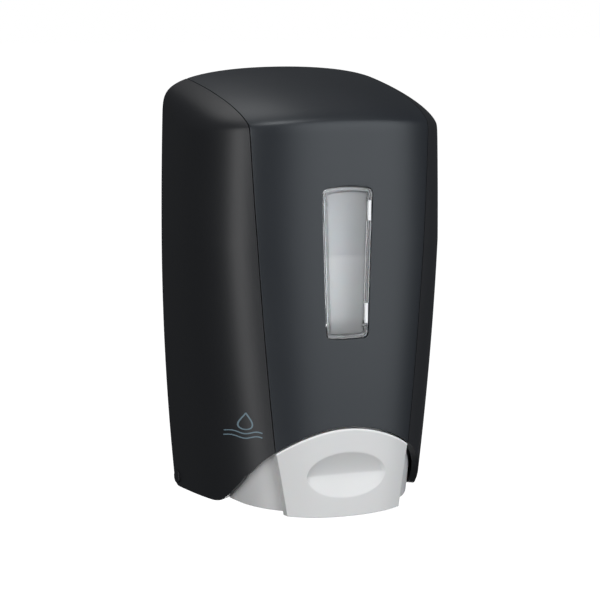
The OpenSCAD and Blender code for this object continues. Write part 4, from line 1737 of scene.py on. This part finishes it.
@dataclass
class WallUnit:
    """Back plate with its rim, ribs, bosses and lugs, the hinge pins and the cradle."""

    inset: float = 5.2
    rim: float = 1.8
    foot: float = -88.0
    hole_r: float = 2.4
    pitch: tuple[float, float] = (35.0, 55.0)
    lug: tuple[float, float] = (42.5, 47.2)
    corner_in: float = 1.0
    guide_z: tuple[float, float] = (72, 84)
    slot_r: float = 15.6
    gusset_x: tuple[float, float] = (21.5, 24)

    def half_outline(self, inset: float) -> list[tuple[float, float]]:
        """Right half of the plate's outline from the top down, in mm.

        Args:
            inset: Distance inside the outer surface in mm.

        Returns:
            X and Z of the outline.
        """
        right = SKIN.wall_outline(inset * MM, self.foot * MM) / MM
        right[-1, 0] -= self.corner_in
        return [tuple(p) for p in right]

    def hole_places(self) -> list[tuple[float, float]]:
        """Places of the four wall screws."""
        return [(sx * self.pitch[0], sz * self.pitch[1]) for sx in (-1, 1) for sz in (-1, 1)]

    def plate(self) -> bpy.types.Object:
        """The whole moulding.

        Returns:
            The plate.
        """
        half = self.half_outline(self.inset)
        outline = half + [(-x, z) for x, z in reversed(half[1:])]
        holes = [Form.rod("hole", self.hole_r, Axis.Y, p, (-9, 3), ease=0) for p in self.hole_places()]
        pieces = [Form.prism("plate", outline, Axis.Y, (-3, 0), 0.5, holes)]
        inner = self.half_outline(self.inset + self.rim)
        for side in Side:
            walk = [p for p in half if p[0] >= 12] + [p for p in reversed(inner) if p[0] >= 12]
            pieces.append(Form.prism("rim", [(side.value * x, z) for x, z in walk], Axis.Y, (-8, -2), 0.3))
            lug, guide, lip = side.span(*self.lug), side.span(6.3, 8.8), side.span(4.4, 8.8)
            pieces.append(Form.rod("lug", 4.4, Axis.X, HINGE, lug, 1.45))
            pieces.append(Form.box("lug_web", lug, (-5.2, -0.8), (self.foot - 3.6, self.foot + 4), 0.5))
            pieces.append(Form.box("guide", guide, (-9.8, -1), self.guide_z, 0.3))
            pieces.append(Form.box("guide_lip", lip, (-11.3, -9.8), self.guide_z, 0.3))
            pieces.append(Form.rod("cradle_boss", 4, Axis.Y, side.at(CRADLE_SCREW), (-5.2, -1), 1.6))
            for x in (14, 28):
                pieces.append(Form.box("stiffener", side.span(x, x + 1.6), (-4.4, -1), (-27, 60), 0.3))
        pieces += [Form.rod("boss", 6, Axis.Y, p, (-5, -0.5), self.hole_r + 0.01) for p in self.hole_places()]
        pieces += [Form.box("rib", (-44, 44), (-5, -1), (z - 1, z + 1), 0.3) for z in (-28, 0, 28)]
        return Bench.join(pieces, "back_plate_moulding")

    def cradle(self) -> bpy.types.Object:
        """Shelf with its neck slot, two gussets and the flange that is screwed on.

        Returns:
            The cradle.
        """
        turn = np.linspace(0, math.pi, 25)
        slot = [(self.slot_r * math.cos(t), PUMP[1] + self.slot_r * math.sin(t)) for t in turn]
        shelf = [(-24, -5.2), (-24, -56), (-self.slot_r, -56), *reversed(slot), (self.slot_r, -56), (24, -56),
                 (24, -5.2)]
        pieces = [Form.prism("shelf", shelf, Axis.Z, (-31, -28), 0.7)]
        holes = [Form.rod("hole", 2, Axis.Y, side.at(CRADLE_SCREW), (-9, -4), ease=0) for side in Side]
        pieces.append(Form.box("flange", (-24, 24), (-8, -5.2), (-60, -28.2), 0.5, holes))
        gusset = [(-6, -30), (-53, -30), (-53, -31.5), (-8, -59.5), (-6, -59.5)]
        for side in Side:
            pieces.append(Form.prism("gusset", gusset, Axis.X, side.span(*self.gusset_x), 0.5))
            pieces.append(Form.box("neck_rail", side.span(17.2, 19.2), (-55, -20), (-32.2, -30.8), 0.4))
        return Bench.join(pieces, "cradle_moulding")

    def build(self) -> None:
        """Builds and dresses the wall unit."""
        hand_over(self.plate(), Body.WALL_UNIT, PLATE, ["back_plate"])
        pins = [Form.rod("pin", 1.5, Axis.X, HINGE, side.span(42.7, 51.3)) for side in Side]
        hand_over(Bench.join(pins, "hinge_pin_pair"), Body.WALL_UNIT, ZINC, ["hinge_pins"])
        hand_over(self.cradle(), Body.WALL_UNIT, CRADLE, ["refill_cradle"])
        screws = [Form.screw("screw", side.at(CRADLE_SCREW), -0.9, -8, 1.6, 3.2) for side in Side]
        hand_over(Bench.join(screws, "cradle_screw_pair"), Body.WALL_UNIT, ZINC, ["cradle_screws"])


# Pump ------------------------------------------------------------------------------------------


@dataclass
class Pump:
    """Turned parts on the pump's axis, outlines in mm from the axis."""

    ribs: int = 24
    rib_rise: float = 0.38
    rib_z: tuple[float, float] = (-47.2, -32.8)
    rib_fade: float = 0.6
    rib_from_r: float = 17.0
    ball: tuple[float, float] = (2.6, -16.38)

    def rib_wave(self, radius: Array, along: Array, turn: Array) -> Array:
        """Ribs round the collar.

        Args:
            radius: Radius in mm.
            along: Place along the axis.
            turn: Angle round the axis.

        Returns:
            Radius with the ribs.
        """
        rib = np.clip(1.6 * np.cos(self.ribs * turn) + 0.3, -1, 1) * self.rib_rise
        band = np.clip(np.minimum(along - self.rib_z[0], self.rib_z[1] - along) / self.rib_fade, 0, 1)
        return radius + np.where(radius > self.rib_from_r, rib * band, 0)

    def turn_part(self, name: str, body: Body, finish: Finish, node: str,
                  outline: Sequence[Place], ease: float) -> None:
        """Turns one part on the pump's axis and dresses it."""
        hand_over(Form.turned(name, outline, ease=ease), body, finish, [node])

    def still_parts(self) -> None:
        """Parts that stay on the bottle, and the ball."""
        side = [(17.55, z) for z in np.linspace(-47.4, -32.6, 24)]
        collar = [(15.3, -46), (15.3, -32), (17.1, -32), *reversed(side), (17.1, -48), (6, -48), (6, -46)]
        piece = Form.turned("collar_ribbed", collar, ease=0.25, steps=self.ribs * 8, wave=self.rib_wave)
        hand_over(piece, Body.WALL_UNIT, WHITE_PP, ["pump_collar"])
        gasket = [(9.2, -44), (14.5, -44), (14.5, -43), (9.2, -43)]
        self.turn_part("gasket_ring", Body.WALL_UNIT, SEAL, "neck_gasket", gasket, 0.3)
        housing = [(4.05, -46), (14.5, -46), (14.5, -44), (9, -44), (9, -10), (4, -10), (4, -6), (2, -6),
                   (2, -12), (7.5, -12), (7.5, -43.5), (4.05, -43.5)]
        self.turn_part("housing_barrel", Body.WALL_UNIT, WHITE_PP, "pump_housing", housing,
                       0.3)
        cage = [(1.9, -20.5), (7.5, -20.5), (7.5, -18.2), (1.9, -18.2)]
        self.turn_part("cage_ring", Body.WALL_UNIT, WHITE_PP, "inlet_cage", cage, 0.3)
        radius, middle = self.ball
        half = [(radius * math.sin(t), middle - radius * math.cos(t)) for t in np.linspace(0, math.pi, 25)]
        self.turn_part("ball_round", Body.VALVE_BALL, ZINC, "inlet_ball", half, 0)

    def moving_parts(self) -> None:
        """Parts that the fork lifts."""
        stem = [(2.2, -69), (4, -69), (4, -43), (6.9, -43), (6.9, -42), (6, -42), (6, -40), (6.9, -40),
                (6.9, -39), (4.4, -39), (4.4, -36), (2.2, -36)]
        self.turn_part("stem_tube", Body.PLUNGER, WHITE_PP, "plunger_stem", stem, 0.2)
        seal = [(6, -42), (7.35, -42), (7.45, -41.7), (7.05, -41), (7.45, -40.3), (7.35, -40), (6, -40)]
        self.turn_part("seal_lips", Body.PLUNGER, SEAL, "piston_seal", seal, 0.15)
        nozzle = [(4, -69), (4, -64.7), (6.5, -64.7), (6.5, -67.2), (11.8, -67.2), (12.1, -66.8), (13, -66.8),
                  (13, -69.7), (5, -69.7), (5, -86), (4.5, -94), (3.2, -94), (3.2, -69)]
        self.turn_part("spout_flanged", Body.PLUNGER, WHITE_PP, "nozzle", nozzle, 0.45)
        bill = [(1.2, -79), (3.2, -79), (3.2, -80.6), (1.6, -82), (0.25, -82), (0.25, -81.2), (1.2, -80.6)]
        self.turn_part("outlet_bill", Body.PLUNGER, SILICONE, "outlet_valve", bill, 0.2)

    def build(self) -> None:
        """Builds and dresses the pump."""
        self.still_parts()
        self.moving_parts()


# Lock, frame and fork --------------------------------------------------------------------------


@dataclass
class Lock:
    """Slider with a finger tab, grip ridges and a hooked arm."""

    half_w: float = 6.0
    tab_half_w: float = 4.0
    ridge_z: tuple[float, ...] = (84, 85.4, 86.8)
    ridge_h: float = 0.8

    def build(self) -> None:
        """Builds and dresses the slider."""
        tab = (-self.tab_half_w, self.tab_half_w)
        pieces = [Form.box("slider", (-self.half_w, self.half_w), (-9.5, -3.3), (71, 83), 0.5),
                  Form.box("tab", tab, (-9.5, -3.3), (82, 88), 0.8),
                  Form.box("arm", tab, (-18, -9), (73.5, 75.5), 0.4),
                  Form.box("nose", tab, (-18, -15.2), (73.5, 78.8), 0.6)]
        pieces += [Form.box("grip", (-3.2, 3.2), (-10.1, -9.2), (z, z + self.ridge_h), 0.25)
                   for z in self.ridge_z]
        lock = Bench.join(pieces, "lock_slider_hooked")
        hand_over(lock, Body.LOCK, GREY_ACETAL, ["lock_slider"])


@dataclass
class CoverFrame:
    """Inner frame of the cover: rails, bars, hinge knuckles and the ears that carry the lever."""

    bar_front: float = -70.6
    rail_x: tuple[float, float] = (48.5, 51.5)
    knuckle_x: tuple[float, float] = (47.5, 51.5)
    ear_x: tuple[float, float] = (34.5, 38.2)
    arm_z: tuple[float, float] = (-50, -44)

    def build(self) -> None:
        """Builds and dresses the frame."""
        pieces = [Form.box("top_bar", (-51.5, 51.5), (-14, -10.5), (84, 88), 0.5),
                  Form.box("keeper", (-7, 7), (-14, -11.5), (80, 85), 0.4),
                  Form.box("front_bar", (-38.2, 38.2), (self.bar_front, -68), self.arm_z, 0.4)]
        arm = [(48.5, -9), (51.5, -9), (50, -50), (40.5, -67.5), (36, self.bar_front), (36, -68), (38, -66),
               (47, -49)]
        ear = [(self.bar_front + 0.2, -50), (self.bar_front + 0.2, -44), (-51.5, -44), (-51.5, -58),
               (-60.5, -58), (-62, -50)]
        for side in Side:
            rail, knuckle, span = side.span(*self.rail_x), side.span(*self.knuckle_x), side.span(*self.ear_x)
            pieces.append(Form.box("rail", rail, (-14, -8.6), (-96, 88), 0.4))
            pieces.append(Form.rod("knuckle", 4.4, Axis.X, HINGE, knuckle, 1.55))
            pieces.append(Form.box("knuckle_web", knuckle, (-14, -7), (-99, -92), 0.4))
            pieces.append(Form.prism("arm", [side.at(p) for p in arm], Axis.Z, self.arm_z, 0.4))
            pieces.append(Form.prism("ear", ear, Axis.X, span, 0.4))
            pieces.append(Form.rod("ear_eye", 4.5, Axis.X, PIVOT, span, 1.65))
        moulding = Bench.join(pieces, "cover_frame_moulding")
        hand_over(moulding, Body.COVER, CRADLE, ["cover_frame"])


@dataclass
class LeverHardware:
    """Pins, fork and screws of the push lever."""

    roller: tuple[float, float] = (-36.0, -72.0)
    roller_r: float = 2.0
    arm_x: tuple[float, float] = (6.5, 10.5)
    web_x: tuple[float, float] = (7.7, 9.3)

    def fork(self) -> bpy.types.Object:
        """Base plate, two arms and the rollers at their ends.

        Returns:
            The fork.
        """
        holes = [Form.rod("hole", 1.7, Axis.Y, side.at(FORK_SCREW), (-75, -70), ease=0) for side in Side]
        pieces = [Form.box("base", (-16, 16), (-73, -70.5), (-86, -64), 0.5, holes)]
        arm = [(-71.5, -72.2), (-36, -72.4), (-36, -76.6), (-71.5, -77)]
        web = [(-71, -77), (-52, -77), (-71, -85)]
        for side in Side:
            span = side.span(*self.arm_x)
            pieces.append(Form.prism("arm", arm, Axis.X, span, 0.5))
            pieces.append(Form.rod("roller", self.roller_r, Axis.X, self.roller, span, ease=0.5))
            pieces.append(Form.prism("arm_web", web, Axis.X, side.span(*self.web_x), 0.3))
        return Bench.join(pieces, "fork_moulding")

    def build(self) -> None:
        """Builds and dresses the parts."""
        pins = [Form.rod("pin", 1.6, Axis.X, PIVOT, side.span(34.7, 43.5)) for side in Side]
        hand_over(Bench.join(pins, "lever_pin_pair"), Body.PUSH_LEVER, ZINC, ["lever_pins"])
        hand_over(self.fork(), Body.PUSH_LEVER, GREY_ACETAL, ["lift_fork"])
        screws = [Form.screw("screw", side.at(FORK_SCREW), -75.4, -70.5, 1.4, 2.8) for side in Side]
        hand_over(Bench.join(screws, "fork_screw_pair"), Body.PUSH_LEVER, ZINC, ["fork_screws"])


# Studio ----------------------------------------------------------------------------------------


@dataclass(frozen=True)
class Lamp:
    """An area light: its place and size in metres and its power in watts."""

    name: str
    place: tuple[float, float, float]
    size: tuple[float, float]
    power: float
    color: Color = (1.0, 1.0, 1.0)


LAMPS = (
    Lamp("front_box", (0.72, -1.33, 0.35), (1.4, 1.6), 18.5, (0.96, 0.98, 1.0)),
    Lamp("left_strip", (-1.36, -0.82, 0.1), (0.6, 1.5), 10.5),
    Lamp("brow_box", (-0.1, -0.5, 1.3), (0.5, 0.35), 6.0),
    Lamp("crown_box", (-0.05, 0.65, 1.3), (0.9, 0.7), 3.2),
    Lamp("rear_fill", (0.7, 1.2, -0.75), (0.8, 0.5), 9.0),
    Lamp("low_fill", (-0.5, -0.9, -0.9), (0.8, 0.8), 3.8),
)


@dataclass
class Studio:
    """Camera, soft lights, pale floor and pale surroundings."""

    azimuth: float = math.radians(24.04)
    elevation: float = math.radians(7.15)
    aim: tuple[float, float, float] = (-5.81 * MM, -40 * MM, -7.21 * MM)
    distance: float = 1209 * MM
    lens: float = 150.2
    floor_z: float = -0.6
    floor_w: float = 60.0
    lamps_aim: tuple[float, float, float] = (0.0, -0.04, 0.0)
    ambient: float = 0.06

    def camera(self) -> None:
        """Sets up the camera."""
        ahead = Vector((math.sin(self.azimuth) * math.cos(self.elevation),
                        math.cos(self.azimuth) * math.cos(self.elevation), -math.sin(self.elevation)))
        data = bpy.data.cameras.new("camera")
        data.lens = self.lens
        data.sensor_width = 36.0
        data.clip_end = 50.0
        camera = bpy.data.objects.new("camera", data)
        bpy.context.scene.collection.objects.link(camera)
        camera.location = Vector(self.aim) - ahead * self.distance
        camera.rotation_euler = ahead.to_track_quat("-Z", "Y").to_euler()
        bpy.context.scene.camera = camera

    def hang(self, lamp: Lamp) -> None:
        """Adds an area light that faces the dispenser.

        Args:
            lamp: Lamp to add.
        """
        data = bpy.data.lights.new(lamp.name, "AREA")
        data.shape = "RECTANGLE"
        data.size, data.size_y = lamp.size
        data.energy = lamp.power
        data.color = lamp.color
        light = bpy.data.objects.new(lamp.name, data)
        bpy.context.scene.collection.objects.link(light)
        light.location = lamp.place
        light.visible_camera = False
        toward = Vector(self.lamps_aim) - Vector(lamp.place)
        light.rotation_euler = toward.to_track_quat("-Z", "Y").to_euler()

    def floor(self) -> None:
        """The pale floor."""
        Bench.clear()
        bpy.ops.mesh.primitive_plane_add(size=self.floor_w, location=(0, 0, self.floor_z))
        floor = Bench.named("floor")
        material, tree, shader = NodeDesk.start("pale_floor")
        shader.inputs["Base Color"].default_value = (0.9, 0.9, 0.9, 1.0)
        shader.inputs["Roughness"].default_value = 0.9
        shader.inputs["Emission Color"].default_value = (1.0, 1.0, 1.0, 1.0)
        shader.inputs["Emission Strength"].default_value = 1.0
        floor.data.materials.append(material)
        floor.visible_glossy = False
        floor.visible_diffuse = False

    def surroundings(self) -> None:
        """White behind the object, a soft grey for its light."""
        world = bpy.data.worlds.new("studio")
        bpy.context.scene.world = world
        world.use_nodes = True
        tree = world.node_tree
        back = tree.nodes["Background"]
        back.inputs["Color"].default_value = (0.9, 0.95, 1.0, 1.0)
        back.inputs["Strength"].default_value = self.ambient
        white = tree.nodes.new("ShaderNodeBackground")
        white.inputs["Color"].default_value = (1.0, 1.0, 1.0, 1.0)
        path = tree.nodes.new("ShaderNodeLightPath")
        mix = tree.nodes.new("ShaderNodeMixShader")
        tree.links.new(path.outputs["Is Camera Ray"], mix.inputs["Fac"])
        tree.links.new(back.outputs["Background"], mix.inputs[1])
        tree.links.new(white.outputs["Background"], mix.inputs[2])
        tree.links.new(mix.outputs["Shader"], tree.nodes["World Output"].inputs["Surface"])

    def build(self) -> None:
        """Builds the whole studio."""
        self.camera()
        self.floor()
        self.surroundings()
        for lamp in LAMPS:
            self.hang(lamp)
        bpy.context.scene.view_settings.view_transform = "Standard"
        LOG.info("studio: camera, floor and lights")


def main() -> None:
    """Builds the dispenser's looks piece by piece."""
    logging.basicConfig(level=logging.INFO, format="%(message)s")
    Studio().build()
    CoverSkins().build()
    WindowInsert().build()
    DropMark().build()
    PushLever().build()
    Refill().build()
    WallUnit().build()
    Pump().build()
    Lock().build()
    CoverFrame().build()
    LeverHardware().build()


if __name__ == "__main__":
    main()
